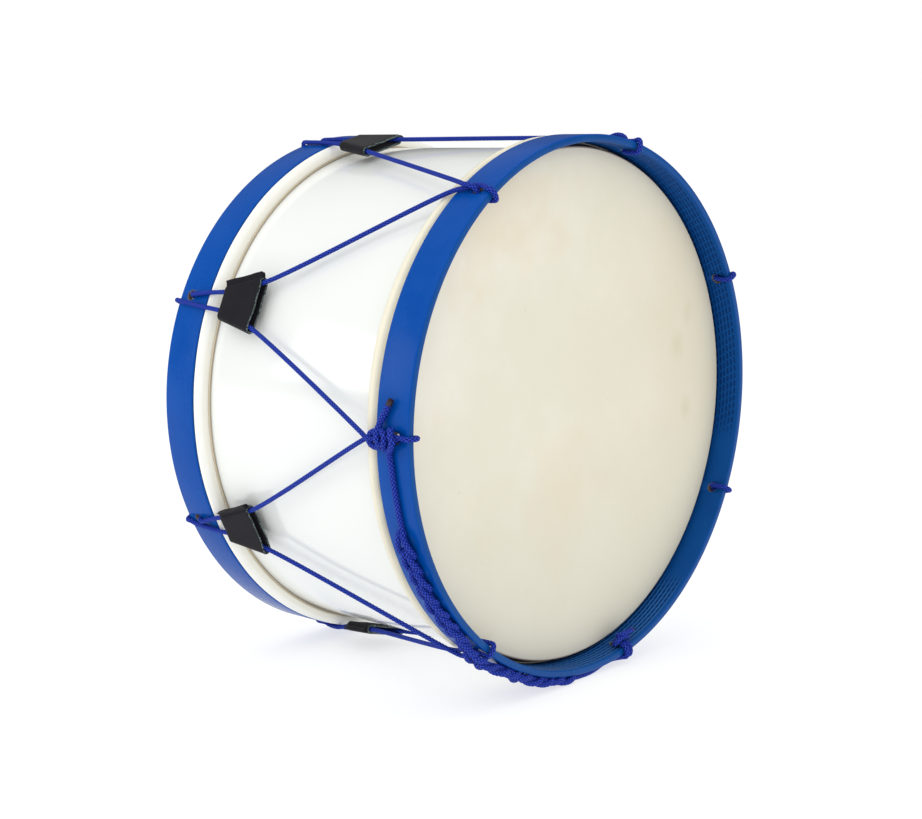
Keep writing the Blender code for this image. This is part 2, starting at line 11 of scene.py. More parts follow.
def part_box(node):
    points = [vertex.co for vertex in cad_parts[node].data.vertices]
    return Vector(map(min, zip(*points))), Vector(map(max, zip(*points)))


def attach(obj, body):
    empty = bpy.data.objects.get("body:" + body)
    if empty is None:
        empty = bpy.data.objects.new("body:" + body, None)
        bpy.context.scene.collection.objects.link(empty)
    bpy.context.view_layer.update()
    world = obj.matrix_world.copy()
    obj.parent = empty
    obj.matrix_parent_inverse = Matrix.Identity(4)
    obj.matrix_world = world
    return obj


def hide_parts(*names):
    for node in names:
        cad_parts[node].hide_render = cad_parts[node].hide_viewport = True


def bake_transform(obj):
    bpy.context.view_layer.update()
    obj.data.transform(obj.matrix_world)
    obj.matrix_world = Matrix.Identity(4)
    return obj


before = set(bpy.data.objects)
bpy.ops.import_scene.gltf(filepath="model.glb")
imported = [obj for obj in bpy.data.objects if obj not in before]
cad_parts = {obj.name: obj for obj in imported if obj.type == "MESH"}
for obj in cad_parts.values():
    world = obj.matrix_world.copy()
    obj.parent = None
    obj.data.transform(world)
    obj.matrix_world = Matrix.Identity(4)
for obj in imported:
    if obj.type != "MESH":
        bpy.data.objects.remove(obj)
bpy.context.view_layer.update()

# The drum's own sizes, as the solids have them
GAP = 0.0003
SHELL_RADIUS = 0.175
SHELL_WALL = 0.006
DRUM_LENGTH = 0.229
HALF_LENGTH = DRUM_LENGTH / 2
HEAD_RECESS = 0.018
SKIN = 0.001
HOOP_WIDTH = 0.0275
HOOP_INNER = 0.179
HOOP_OUTER = 0.184
HOOP_MIDDLE = (HOOP_INNER + HOOP_OUTER) / 2
SKIRT_OUTER = 0.1763
FRONT_FLESH_WIDTH = 0.009
REAR_FLESH_WIDTH = 0.0043
RUNS = 7
SPACING = 360 / RUNS
FIRST_REAR_HOLE = 154.286
HOLE_RADIUS = 0.0034
HOLE_EDGE = 0.0004
HOLE_INSET = 0.0105
CORD = 0.0033
CROSSING_BEHIND_HOLE = 0.0095
KNOTTED_CROSSING = 0.0195
LEG_OFF_HOLE_MIDDLE = 0.0014
LOOP_AT_FRONT_RIM = 0.001
LOOPS_FURTHER_ROUND = (-0.0014, 0.0, 0.0008, 0.0, 0.0, 0.0, 0.0012)
# Each hole's own place, in degrees off an even spacing, and its loop's place beside it
FRONT_HOLE_SHIFTS = (-0.4, -2.5, -1.8, 0.4, -0.4, 0.0, 1.0)
REAR_HOLE_SHIFTS = (1.5, 1.3, 0.4, -0.3, 0.2, -1.5, 0.3)
LOOPS_BESIDE_REAR_HOLES = (0.0062, 0.0055, 0.0048, 0.0052, 0.0058, 0.005, 0.0039)
LOOPS_AT_REAR_RIM = (0.0048, 0.005, 0.004, 0.0044, 0.005, 0.004, 0.0014)
TUG_LENGTH = 0.03
TUGS_FROM_REAR_RIM = (0.048, 0.047, 0.045, 0.046, 0.045, 0.044, 0.042)
TUGS_BESIDE_HOLES = (0.0028, 0.003, 0.0024, 0.0026, 0.0029, 0.0001, -0.0006)
TUG_LEATHER = 0.0016
TUG_REAR_LEGS = 0.0142
TUG_FRONT_LEGS = 0.0325
TUG_REAR_RADIUS = SHELL_RADIUS + 0.0104
TUG_FRONT_RADIUS = SHELL_RADIUS + 0.0086
TUG_MOUTH = 0.002
LOWEST_TUG = 5
LOWEST_TUG_OFF_SHELL = 0.0013

CORD_OUT = HOOP_OUTER + GAP + CORD / 2
CORD_IN = 0.17692
CORD_TOP = CORD_OUT + GAP + CORD
STRAP_RADIUS = HOOP_OUTER + 0.0005 + CORD / 2

shell_low, shell_high = (Vector(corner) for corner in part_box("shell"))
AXIS_X = (shell_low.x + shell_high.x) / 2
AXIS_Z = (shell_low.z + shell_high.z) / 2
FRONT_Y = Vector(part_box("front_counterhoop")[0]).y
AXIS = Vector((AXIS_X, FRONT_Y, AXIS_Z))


def spot(radius, angle, along):
    """The point at a radius and an angle (degrees, +X towards +Z), this far behind the front rim."""
    turn = radians(angle)
    return AXIS + Vector((radius * cos(turn), along, radius * sin(turn)))


def degrees_round(length, radius=HOOP_OUTER):
    return degrees(length / radius)


def clamped(share):
    return min(1, max(0, share))


def eased(share):
    return share * share * (3 - 2 * share)


# Camera


# The camera's focal length in mm, its directions, and its place off the axis as shares of the rim's radius
CAMERA_LENS = 68.02
CAMERA_RIGHT = Vector((0.664724, -0.7471, 0))
CAMERA_UP = Vector((0.109912, 0.0978, 0.989118))
CAMERA_PLACE = Vector((-5.0692, -3.8491, 0.9410))


def add_object(name, data):
    made = bpy.data.objects.new(name, data)
    bpy.context.scene.collection.objects.link(made)
    return made


def place_camera():
    """The photograph's view: from the front and left, a little above the drum's middle."""
    camera_data = bpy.data.cameras.new("studio_camera")
    camera = add_object("studio_camera", camera_data)
    camera_data.sensor_width = 36
    camera_data.lens = CAMERA_LENS
    camera_data.clip_start = 0.01
    camera_data.clip_end = 50
    back = CAMERA_RIGHT.cross(CAMERA_UP)
    turn = Matrix((CAMERA_RIGHT, CAMERA_UP, back)).transposed().to_4x4()
    camera.matrix_world = Matrix.Translation(AXIS + HOOP_OUTER * CAMERA_PLACE) @ turn
    bpy.context.scene.camera = camera


# Node helpers


class Finish:
    """A material being wired: a shader, and short calls for the nodes in front of it."""

    def __init__(self, name, **sockets):
        self.material = bpy.data.materials.new(name)
        self.material.use_nodes = True
        self.tree = self.material.node_tree
        self.shader = self.tree.nodes["Principled BSDF"]
        for socket, value in sockets.items():
            self.shader.inputs[socket.replace("_", " ")].default_value = value

    def node(self, kind, inputs=None, **settings):
        made = self.tree.nodes.new(kind)
        for key, value in settings.items():
            setattr(made, key, value)
        for socket, value in (inputs or {}).items():
            self.feed(made.inputs[socket], value)
        return made

    def feed(self, socket, value):
        if isinstance(value, bpy.types.NodeSocket):
            self.tree.links.new(value, socket)
        else:
            socket.default_value = value

    def math(self, operation, first, second=0.0, third=0.0):
        made = self.node("ShaderNodeMath", operation=operation)
        for socket, value in zip(made.inputs, (first, second, third)):
            self.feed(socket, value)
        return made.outputs[0]

    def times(self, first, second):
        return self.math("MULTIPLY", first, second)

    def distance(self, first, second):
        return self.math("ABSOLUTE", self.math("SUBTRACT", first, second))

    def place(self):
        return self.node("ShaderNodeTexCoord").outputs["Object"]

    def noise(self, vector, scale, detail=3.0, roughness=0.5, distortion=0.0):
        inputs = {
            "Vector": vector,
            "Scale": scale,
            "Detail": detail,
            "Roughness": roughness,
            "Distortion": distortion,
        }
        return self.node("ShaderNodeTexNoise", inputs).outputs["Fac"]

    def stretch(self, vector, scale, location=(0, 0, 0)):
        inputs = {"Vector": vector, "Scale": scale, "Location": location}
        return self.node("ShaderNodeMapping", inputs).outputs["Vector"]

    def spread(self, value, low, high, to_low=0.0, to_high=1.0):
        inputs = {"Value": value, "From Min": low, "From Max": high, "To Min": to_low, "To Max": to_high}
        return self.node("ShaderNodeMapRange", inputs, interpolation_type="SMOOTHSTEP").outputs["Result"]

    def below(self, value, low, high):
        """1 under low, 0 over high."""
        return self.spread(value, low, high, 1.0, 0.0)

    def mix(self, share, first, second):
        inputs = {"Factor": share, 6: first, 7: second}
        return self.node("ShaderNodeMix", inputs, data_type="RGBA").outputs[2]

    def wash(self, colour, share, strength, second):
        """Lays a second colour over part of the first."""
        return self.mix(self.times(share, strength), colour, second)

    def grid(self, across, along):
        """A place on a surface of two measures, for noise that follows it."""
        return self.node("ShaderNodeCombineXYZ", {0: across, 1: along}).outputs[0]

    def made(self, colour, height, strength, distance, roughness=None):
        """Gives the material its colour, its bump and, where it varies, its roughness."""
        bump = self.node("ShaderNodeBump", {"Height": height, "Strength": strength, "Distance": distance})
        self.feed(self.shader.inputs["Normal"], bump.outputs["Normal"])
        self.feed(self.shader.inputs["Base Color"], colour)
        if roughness:
            self.feed(self.shader.inputs["Roughness"], roughness)
        return self.material

    def round_the_axis(self):
        """Radius and angle (in turns) round the drum's axis, and the distance behind the front rim."""
        parts = self.node("ShaderNodeSeparateXYZ", {0: self.place()})
        across = self.math("SUBTRACT", parts.outputs[0], AXIS_X)
        height = self.math("SUBTRACT", parts.outputs[2], AXIS_Z)
        along = self.math("SUBTRACT", parts.outputs[1], FRONT_Y)
        squares = self.math("MULTIPLY_ADD", across, across, self.times(height, height))
        radius = self.math("SQRT", squares)
        turns = self.math("DIVIDE", self.math("ARCTAN2", height, across), tau)
        return radius, turns, along


def tint(red, green, blue):
    """A display colour of 0 to 255 as the shader's linear colour."""
    linear = []
    for part in (red, green, blue):
        share = part / 255
        linear.append(share / 12.92 if share <= 0.04045 else ((share + 0.055) / 1.055) ** 2.4)
    return (*linear, 1.0)


# Finishes


def white_lacquer():
    finish = Finish("white_lacquer", Roughness=0.16, Coat_Weight=0.5, Coat_Roughness=0.06)
    place = finish.place()
    cloudy = finish.noise(place, 9.0, 3.0)
    colour = finish.mix(cloudy, tint(230, 233, 230), tint(238, 240, 236))
    ripple = finish.noise(finish.stretch(place, (1.0, 0.5, 1.0)), 22.0, 2.0)
    specks = finish.noise(place, 900.0, 2.0)
    return finish.made(colour, finish.math("MULTIPLY_ADD", specks, 0.02, ripple), 0.2, 0.0008)


# Turns round the axis: where paint fills the pressed marks, and the hoop's lowest place, where the ridges between the
# marks get a painted highlight
FILLED_MARKS_TURN = -0.088
LOWEST_TURN = -0.245
# How far apart the marks' columns are, and the marks in one column
MARK_COLUMN = 0.0031
MARK_STEP = 0.0057


def blue_lacquer(name, gloss, smooth, rough):
    """Blue paint over bent wood: soft mottling, pores, and rows of short pressed marks inside the hoop, with painted
    shade in the marks and a painted highlight on the ridges between them low on the hoop.
    """
    finish = Finish(name, Roughness=smooth, Specular_IOR_Level=gloss)
    place = finish.place()
    radius, turns, along = finish.round_the_axis()
    round_length = finish.times(turns, tau * HOOP_INNER)
    mottle = finish.noise(place, 30.0, 4.0, 0.55)
    base = finish.mix(mottle, tint(0, 66, 150), tint(0, 78, 166))
    indoors = finish.below(radius, HOOP_OUTER - 0.0014, HOOP_OUTER - 0.0004)
    base = finish.mix(indoors, base, finish.mix(mottle, tint(8, 66, 132), tint(16, 80, 152)))
    wear = finish.spread(finish.noise(place, 120.0, 4.0, 0.7), 0.68, 0.8)
    base = finish.wash(base, wear, 0.3, tint(40, 116, 200))
    # Pressed marks in columns round the hoop, each column a little further on than its neighbour
    column = finish.math("DIVIDE", along, MARK_COLUMN)
    slant = finish.times(finish.math("FLOOR", column), 0.28)
    uneven = finish.times(finish.noise(place, 60.0, 2.0), 0.5)
    step = finish.math("ADD", finish.math("DIVIDE", round_length, MARK_STEP), finish.math("ADD", slant, uneven))
    from_column = finish.distance(finish.math("FRACT", column), 0.5)
    from_step = finish.distance(finish.math("FRACT", step), 0.5)
    mark = finish.times(finish.below(from_column, 0.16, 0.33), finish.below(from_step, 0.3, 0.44))
    inside = finish.below(radius, HOOP_INNER + 0.0004, HOOP_INNER + 0.0009)
    deep = finish.spread(along, 0.0018, 0.0034)
    # The paint fills the marks on one stretch low on the side
    open_marks = finish.spread(finish.distance(turns, FILLED_MARKS_TURN), 0.045, 0.066)
    textured = finish.times(finish.times(inside, deep), open_marks)
    marks = finish.times(mark, textured)
    # Painted highlight: low on the hoop, where light falls on them, the ridges between the columns of marks are
    # lightened
    low_side = finish.below(finish.distance(turns, LOWEST_TURN), 0.07, 0.13)
    painted_ridge_highlight = finish.times(finish.spread(from_column, 0.3, 0.42), finish.times(textured, low_side))
    base = finish.wash(base, painted_ridge_highlight, 0.5, tint(74, 130, 188))
    # Painted shade: the pressed marks are darkened as the shade in their dents
    base = finish.wash(base, marks, 0.72, tint(2, 40, 92))
    grain_place = finish.grid(finish.times(round_length, 60.0), finish.times(along, 700.0))
    grain = finish.noise(grain_place, 1.0, 3.0, 0.6)
    height = finish.math("SUBTRACT", finish.times(grain, 0.3), marks)
    return finish.made(base, height, 0.6, 0.0005, finish.spread(mottle, 0.3, 0.7, smooth, rough))


def bare_wood():
    finish = Finish("bare_wood", Roughness=0.7)
    place = finish.place()
    streaks = finish.noise(finish.stretch(place, (900.0, 120.0, 900.0)), 1.0, 4.0, 0.6)
    return finish.made(finish.mix(streaks, tint(134, 124, 108), tint(58, 50, 42)), streaks, 0.5, 0.0002)


def drum_skin(name, light, dark, skirt_end):
    """Cream skin, faintly clouded, with fine specks, a few stains, yellowing and painted shade towards the side away
    from the key light, painted shade towards the bottom, under the counterhoop and along the skirt's end, and a tan
    line where it turns over the shell.
    """
    finish = Finish(name, Roughness=0.5, Specular_IOR_Level=0.3)
    place = finish.place()
    radius, _, along = finish.round_the_axis()
    clouds = finish.noise(place, 6.0, 5.0, 0.6)
    fibres = finish.noise(finish.stretch(place, (1.0, 1.0, 0.45)), 60.0, 5.0, 0.65)
    specks = finish.spread(finish.noise(place, 420.0, 2.0), 0.74, 0.8)
    colour = finish.mix(finish.spread(clouds, 0.35, 0.65), dark, light)
    warm = finish.spread(finish.noise(finish.stretch(place, (1, 1, 1), (0.37, 0.2, 0.61)), 9.0, 4.0, 0.65), 0.5, 0.72)
    colour = finish.wash(colour, warm, 0.55, tint(231, 215, 186))
    parts = finish.node("ShaderNodeSeparateXYZ", {0: place})
    # Yellowing with painted shade: the skin turns warmer and darker towards +X, the side away from the key light
    yellowed_and_shaded_side = finish.spread(parts.outputs[0], AXIS_X - 0.09, AXIS_X + 0.15)
    colour = finish.wash(colour, yellowed_and_shaded_side, 0.6, tint(220, 212, 187))
    # Painted shade: the skin greys towards the bottom
    painted_shade_below = finish.below(parts.outputs[2], AXIS_Z - 0.17, AXIS_Z + 0.01)
    colour = finish.wash(colour, painted_shade_below, 0.55, tint(208, 205, 187))
    colour = finish.wash(colour, fibres, 0.12, tint(214, 207, 180))
    for across, height, size, strength in SKIN_STAINS:
        centre = (-(AXIS_X + across) / size, 0.0, -0.8 * (AXIS_Z + height) / size)
        from_centre = finish.stretch(place, (1 / size, 0.0, 0.8 / size), centre)
        stain_reach = finish.node("ShaderNodeVectorMath", {0: from_centre}, operation="LENGTH").outputs["Value"]
        ragged = finish.math("MULTIPLY_ADD", fibres, 0.7, stain_reach)
        ragged = finish.math("MULTIPLY_ADD", clouds, 0.9, ragged)
        stain = finish.times(finish.below(ragged, 0.7, 2.1), strength)
        colour = finish.mix(stain, colour, tint(188, 172, 118))
    colour = finish.wash(colour, specks, 0.22, tint(150, 140, 110))
    edge = finish.spread(radius, SKIRT_OUTER - 0.0016, SKIRT_OUTER - 0.0006)
    from_middle = finish.distance(along, HALF_LENGTH)
    at_turn = finish.spread(from_middle, HALF_LENGTH - HEAD_RECESS - 0.006, HALF_LENGTH - HEAD_RECESS - 0.003)
    edge_colour = finish.mix(at_turn, tint(212, 200, 170), tint(150, 96, 66))
    colour = finish.mix(finish.times(edge, 0.7), colour, edge_colour)
    under_hoop = HALF_LENGTH - HOOP_WIDTH
    # Painted shade: the skirt is darkened where it runs under the counterhoop
    skirt_shade_under_hoop = finish.times(
        finish.spread(radius, SKIRT_OUTER - 0.0004, SKIRT_OUTER - 0.0001),
        finish.spread(from_middle, under_hoop, under_hoop + 0.0015),
    )
    colour = finish.wash(colour, skirt_shade_under_hoop, 0.8, tint(64, 44, 46))
    end_line = HALF_LENGTH - skirt_end
    # Painted shade: a brown line at the skirt's end for the crevice where it meets the shell
    skirt_end_crevice_shade = finish.spread(from_middle, end_line + 0.0002, end_line + 0.0006, 0.45, 0.0)
    colour = finish.mix(skirt_end_crevice_shade, colour, tint(128, 94, 62))
    height = finish.math("MULTIPLY_ADD", fibres, 0.5, clouds)
    return finish.made(colour, height, 0.25, 0.0006, finish.spread(fibres, 0.3, 0.7, 0.42, 0.58))


# Across and up from the drum's axis, half width, and strength of each stain on the skin
SKIN_STAINS = (
    (0.1218, 0.032, 0.0095, 0.2),
    (0.1339, 0.0547, 0.0075, 0.15),
    (0.1337, -0.016, 0.0085, 0.25),
)


def lapped_skin(name, light, dark, recess_shade_tint):
    """Smooth pale skin wound over a flesh hoop, with small wrinkles, painted shade in its recess and a near-black
    painted shadow where it sinks behind the counterhoop.
    """
    finish = Finish(name, Roughness=0.42)
    place = finish.place()
    radius, turns, along = finish.round_the_axis()
    clouds = finish.noise(place, 40.0, 4.0, 0.6)
    # Painted shade: the low parts of the lap, in its recess, take the recess tint
    low = finish.below(radius, 0.1792, 0.1812)
    colour = finish.mix(clouds, dark, light)
    colour = finish.mix(finish.times(low, 0.45), colour, recess_shade_tint)
    # Painted shadow: near black where the lap sinks behind the counterhoop
    painted_shadow_behind_hoop = finish.below(radius, 0.1780, 0.1790)
    under_hoop = HALF_LENGTH - HOOP_WIDTH
    from_middle = finish.distance(along, HALF_LENGTH)
    facing_out = finish.spread(from_middle, under_hoop - 0.0035, under_hoop - 0.0015)
    colour = finish.mix(finish.times(painted_shadow_behind_hoop, facing_out), colour, tint(40, 40, 52))
    wrinkle_place = finish.grid(finish.times(turns, 210.0), finish.times(along, 90.0))
    wrinkles = finish.noise(wrinkle_place, 1.0, 3.0, 0.5)
    return finish.made(colour, finish.math("MULTIPLY_ADD", clouds, 0.4, wrinkles), 0.35, 0.0008)


def braid_ridges(finish):
    """How high the braid's two sets of strands stand, from the cord's own map."""
    cord_map = finish.node("ShaderNodeUVMap", uv_map="cord_map")
    parts = finish.node("ShaderNodeSeparateXYZ", {0: cord_map.outputs[0]})
    around = finish.times(parts.outputs[0], tau * BRAID_STRANDS)
    forward = finish.times(parts.outputs[1], tau / BRAID_PITCH)
    over = finish.math("COSINE", around)
    strands = []
    for travel, lean in (("ADD", 0.3), ("SUBTRACT", -0.3)):
        wave = finish.math("COSINE", finish.math(travel, around, forward))
        strands.append(
            finish.times(finish.math("MULTIPLY_ADD", wave, 0.5, 0.5), finish.math("MULTIPLY_ADD", over, lean, 0.7))
        )
    return finish.math("MAXIMUM", *strands)


def braided_cord():
    """Blue braided cord with painted shade between the strands, a painted highlight on their backs, and fine yarn
    lines.
    """
    finish = Finish("braided_cord", Roughness=0.62, Specular_IOR_Level=0.16)
    ridges = braid_ridges(finish)
    place = finish.place()
    yarn = finish.noise(place, 1500.0, 2.0, 0.6)
    patches = finish.noise(place, 45.0, 2.0)
    level = finish.math("MULTIPLY_ADD", yarn, 0.3, finish.spread(ridges, 0.3, 0.98, 0.0, 0.85))
    # Painted shade and highlight: dark in the grooves between strands, light on their backs
    colour = finish.mix(finish.spread(level, 0.1, 0.5), tint(6, 8, 84), tint(12, 34, 150))
    colour = finish.mix(finish.spread(level, 0.5, 1.0), colour, tint(52, 92, 212))
    colour = finish.wash(colour, patches, 0.2, tint(14, 30, 130))
    return finish.made(colour, finish.math("MULTIPLY_ADD", yarn, 0.3, ridges), 0.6, 0.0003)


def singed_end():
    finish = Finish("singed_end", Roughness=0.45)
    crust = finish.noise(finish.place(), 700.0, 3.0)
    return finish.made(finish.mix(crust, tint(14, 12, 26), tint(60, 30, 40)), crust, 0.7, 0.0004)


def black_suede():
    """Black leather with a short nap, paler scuffs and fine creases."""
    finish = Finish(
        "black_suede", Roughness=0.8, Specular_IOR_Level=0.18, Sheen_Weight=0.1, Sheen_Roughness=0.4
    )
    place = finish.place()
    nap = finish.noise(place, 1300.0, 3.0, 0.65)
    clouds = finish.noise(place, 70.0, 4.0, 0.6)
    scuffs = finish.spread(finish.noise(finish.stretch(place, (1.0, 4.0, 1.0)), 55.0, 6.0, 0.75, 1.5), 0.62, 0.74)
    colour = finish.mix(clouds, tint(17, 16, 21), tint(29, 28, 35))
    colour = finish.wash(colour, nap, 0.3, tint(36, 35, 41))
    colour = finish.wash(colour, scuffs, 0.25, tint(84, 82, 88))
    return finish.made(colour, finish.math("MULTIPLY_ADD", nap, 0.5, clouds), 0.45, 0.0004)


def cut_leather():
    finish = Finish("cut_leather", Roughness=0.85)
    fibres = finish.noise(finish.place(), 1100.0, 4.0, 0.7)
    flecks = finish.spread(fibres, 0.46, 0.6)
    return finish.made(finish.mix(flecks, tint(26, 30, 32), tint(128, 146, 142)), fibres, 0.8, 0.0004)


def studio_paper():
    """White paper lit from behind, so that shadows on it stay faint."""
    finish = Finish(
        "studio_paper",
        Roughness=0.9,
        Specular_IOR_Level=0.0,
        Emission_Color=(0.985, 0.99, 1.0, 1),
        Emission_Strength=0.68,
    )
    mottle = finish.noise(finish.place(), 3.0, 2.0)
    colour = finish.mix(mottle, (0.36, 0.365, 0.37, 1), (0.38, 0.382, 0.385, 1))
    finish.feed(finish.shader.inputs["Base Color"], colour)
    return finish.material


# Modelling helpers


def deselect():
    if bpy.context.mode != "OBJECT":
        bpy.ops.object.mode_set(mode="OBJECT")
    bpy.ops.object.select_all(action="DESELECT")


def pick(*pieces):
    """Selects these pieces and no other, with the first one active."""
    deselect()
    for piece in pieces:
        piece.select_set(True)
    bpy.context.view_layer.objects.active = pieces[0]


def settle(piece, name, finish, body="drum", nodes=()):
    """Names a finished piece, puts its place in its mesh, and hands it to its body."""
    piece.name = name
    piece.data.name = name
    pick(piece)
    bpy.ops.object.transform_apply(location=True, rotation=True, scale=True)
    if not piece.data.materials:
        piece.data.materials.append(finish)
    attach(piece, body)
    if nodes:
        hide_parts(*nodes)
    return piece


def edit_all():
    bpy.ops.object.mode_set(mode="EDIT")
    bpy.ops.mesh.select_all(action="SELECT")


def turn_faces_out():
    bpy.ops.mesh.select_all(action="SELECT")
    bpy.ops.mesh.normals_make_consistent(inside=False)
    bpy.ops.object.mode_set(mode="OBJECT")


def use_modifiers(piece):
    pick(piece)
    for modifier in list(piece.modifiers):
        bpy.ops.object.modifier_apply(modifier=modifier.name)


def spun(outline, closed, steps=288):
    """Spins an outline of (radius, distance behind the front rim) round the drum's axis."""
    deselect()
    bpy.ops.mesh.primitive_circle_add(vertices=len(outline), fill_type="NOTHING", location=AXIS)
    piece = bpy.context.object
    for vertex, (radius, along) in zip(piece.data.vertices, outline):
        vertex.co = (radius, along, 0)
    bpy.ops.object.mode_set(mode="EDIT")
    if not closed:
        bpy.ops.mesh.select_all(action="DESELECT")
        shape = bmesh.from_edit_mesh(piece.data)
        shape.verts.ensure_lookup_table()
        ends = {shape.verts[0], shape.verts[len(outline) - 1]}
        for edge in shape.edges:
            edge.select = set(edge.verts) == ends
        bmesh.update_edit_mesh(piece.data)
        bpy.ops.mesh.delete(type="EDGE")
    bpy.ops.mesh.select_all(action="SELECT")
    bpy.ops.mesh.spin(steps=steps, angle=tau, center=AXIS, axis=(0, 1, 0))
    bpy.ops.mesh.select_all(action="SELECT")
    bpy.ops.mesh.remove_doubles(threshold=0.000005)
    turn_faces_out()
    bpy.ops.object.shade_smooth_by_angle(angle=radians(40))
    return piece


def rounded_box(inner, outer, near, far, rounding, steps=5):
    """A ring's section: a rectangle with round corners, from (inner, near) on."""
    outline = []
    corners = (
        (outer - rounding, near + rounding, -90),
        (outer - rounding, far - rounding, 0),
        (inner + rounding, far - rounding, 90),
        (inner + rounding, near + rounding, 180),
    )
    for radius, along, start in corners:
        for step in range(steps + 1):
            turn = radians(start + 90 * step / steps)
            outline.append((radius + rounding * cos(turn), along + rounding * sin(turn)))
    return outline


def from_rear(outline):
    return [(radius, DRUM_LENGTH - along) for radius, along in outline]


# Hoops, shell and skins


DRILL_SIDES = 40


def make_drill():
    """A drill standing on the origin that flares where it meets the hoop's two surfaces."""
    drill = pulled_tube(DRILL_SIDES, 5)
    wall = (HOOP_OUTER - HOOP_INNER) / 2
    flare = HOLE_RADIUS + HOLE_EDGE
    rings = (
        (-wall - 0.006, flare + 0.004),
        (-wall + 0.0001, flare),
        (-wall + HOLE_EDGE, HOLE_RADIUS),
        (wall - HOLE_EDGE, HOLE_RADIUS),
        (wall - 0.0001, flare),
        (wall + 0.006, flare + 0.004),
    )
    for number, vertex in enumerate(drill.data.vertices):
        height, radius = rings[number // DRILL_SIDES]
        turn = tau * number / DRILL_SIDES
        vertex.co = (radius * cos(turn), radius * sin(turn), height)
    edit_all()
    bpy.ops.mesh.fill_holes(sides=0)
    turn_faces_out()
    return drill


def drill_lacing_holes(hoop, angles, along, wood):
    """Drills the holes and leaves bare wood in them and on their broken edges."""
    drills = []
    first = make_drill()
    outwards = [(spot(1, angle, 0) - spot(0, angle, 0)).normalized() for angle in angles]
    for angle, outward in zip(angles, outwards):
        drill = first.copy()
        drill.data = first.data.copy()
        bpy.context.scene.collection.objects.link(drill)
        drill.location = spot(HOOP_MIDDLE, angle, along)
        drill.rotation_euler = outward.to_track_quat("Z", "Y").to_euler()
        drills.append(drill)
    bpy.data.objects.remove(first, do_unlink=True)
    pick(*drills)
    bpy.ops.object.join()
    drill = bpy.context.object
    cut = hoop.modifiers.new("Holes", "BOOLEAN")
    cut.operation = "DIFFERENCE"
    cut.object = drill
    use_modifiers(hoop)
    bpy.data.objects.remove(drill, do_unlink=True)
    hoop.data.materials.append(wood)
    for angle, outward in zip(angles, outwards):
        centre = spot(HOOP_MIDDLE, angle, along)
        in_hole = set()
        for vertex in hoop.data.vertices:
            away = hoop.matrix_world @ vertex.co - centre
            if away.length < 0.009 and (away - outward * away.dot(outward)).length < HOLE_RADIUS + HOLE_EDGE + 0.0002:
                in_hole.add(vertex.index)
        for face in hoop.data.polygons:
            if in_hole.issuperset(face.vertices):
                face.material_index = 1


def make_counterhoop(name, near, angles, along, blue, blue_inside, wood):
    outline = rounded_box(HOOP_INNER, HOOP_OUTER, near, near + HOOP_WIDTH, 0.0011)
    hoop = spun(outline, True)
    hoop.data.materials.append(blue)
    drill_lacing_holes(hoop, angles, along, wood)
    hoop.data.materials.append(blue_inside)
    for face in hoop.data.polygons:
        middle = face.center + hoop.location - AXIS
        if face.material_index == 0 and hypot(middle.x, middle.z) < HOOP_INNER + 0.0002:
            face.material_index = 2
    return settle(hoop, name + "_lacquered", blue, nodes=[name])


def make_shell(white):
    near = HEAD_RECESS + SKIN + GAP
    outline = rounded_box(SHELL_RADIUS - SHELL_WALL, SHELL_RADIUS, near, DRUM_LENGTH - near, 0.002)
    return settle(spun(outline, True), "shell_lacquered", white, nodes=["shell"])


HEAD_TURN = 0.0018
# How far each skirt starts behind its counterhoop, and how far it reaches beyond its flesh hoop
SKIRT_BEHIND_HOOP = 0.0007
FRONT_SKIRT_BEYOND = 0.0032
REAR_SKIRT_BEYOND = 0.0042


def head_outline(skirt_end):
    """A stretched skin, thin at the middle and turned over the shell's edge into a skirt."""
    outside = []
    for step in range(25):
        outside.append(((SKIRT_OUTER - HEAD_TURN) * step / 24, HEAD_RECESS))
    for step in range(1, 7):
        turn = radians(90 * step / 6)
        across = SKIRT_OUTER - HEAD_TURN + HEAD_TURN * sin(turn)
        outside.append((across, HEAD_RECESS + HEAD_TURN - HEAD_TURN * cos(turn)))
    outside.append((SKIRT_OUTER, skirt_end))
    inside = [(SKIRT_OUTER - SKIN, skirt_end), (SKIRT_OUTER - SKIN, HEAD_RECESS + SKIN + 0.0012)]
    inside.append((SKIRT_OUTER - SKIN - 0.0010, HEAD_RECESS + SKIN))
    for step in range(23, -1, -1):
        inside.append(((SKIRT_OUTER - 0.0030) * step / 24, HEAD_RECESS + SKIN))
    return [*outside, *inside]


def make_head(name, outline, skin, skirt_end=None):
    """A skin spun from its outline. Where skirt_end is given, the skirt's edge is a little uneven."""
    head = spun(outline, False, 192)
    if skirt_end:
        for vertex in head.data.vertices:
            away = vertex.co + head.location - AXIS
            if away.y > skirt_end - 0.001:
                turn = atan2(away.z, away.x)
                slow = 0.0007 * sin(4 * turn + 0.5) + 0.0004 * sin(9 * turn)
                vertex.co.y += slow + 0.0002 * sin(23 * turn)
    return settle(head, name + "_skin", skin, nodes=[name])


# The stretch, low on the side, where a lapped hoop's front lip sinks behind the counterhoop
LIP_WIDTH = 0.0062
LIP_MIDDLE = 211
CREST_FROM = 0.1785


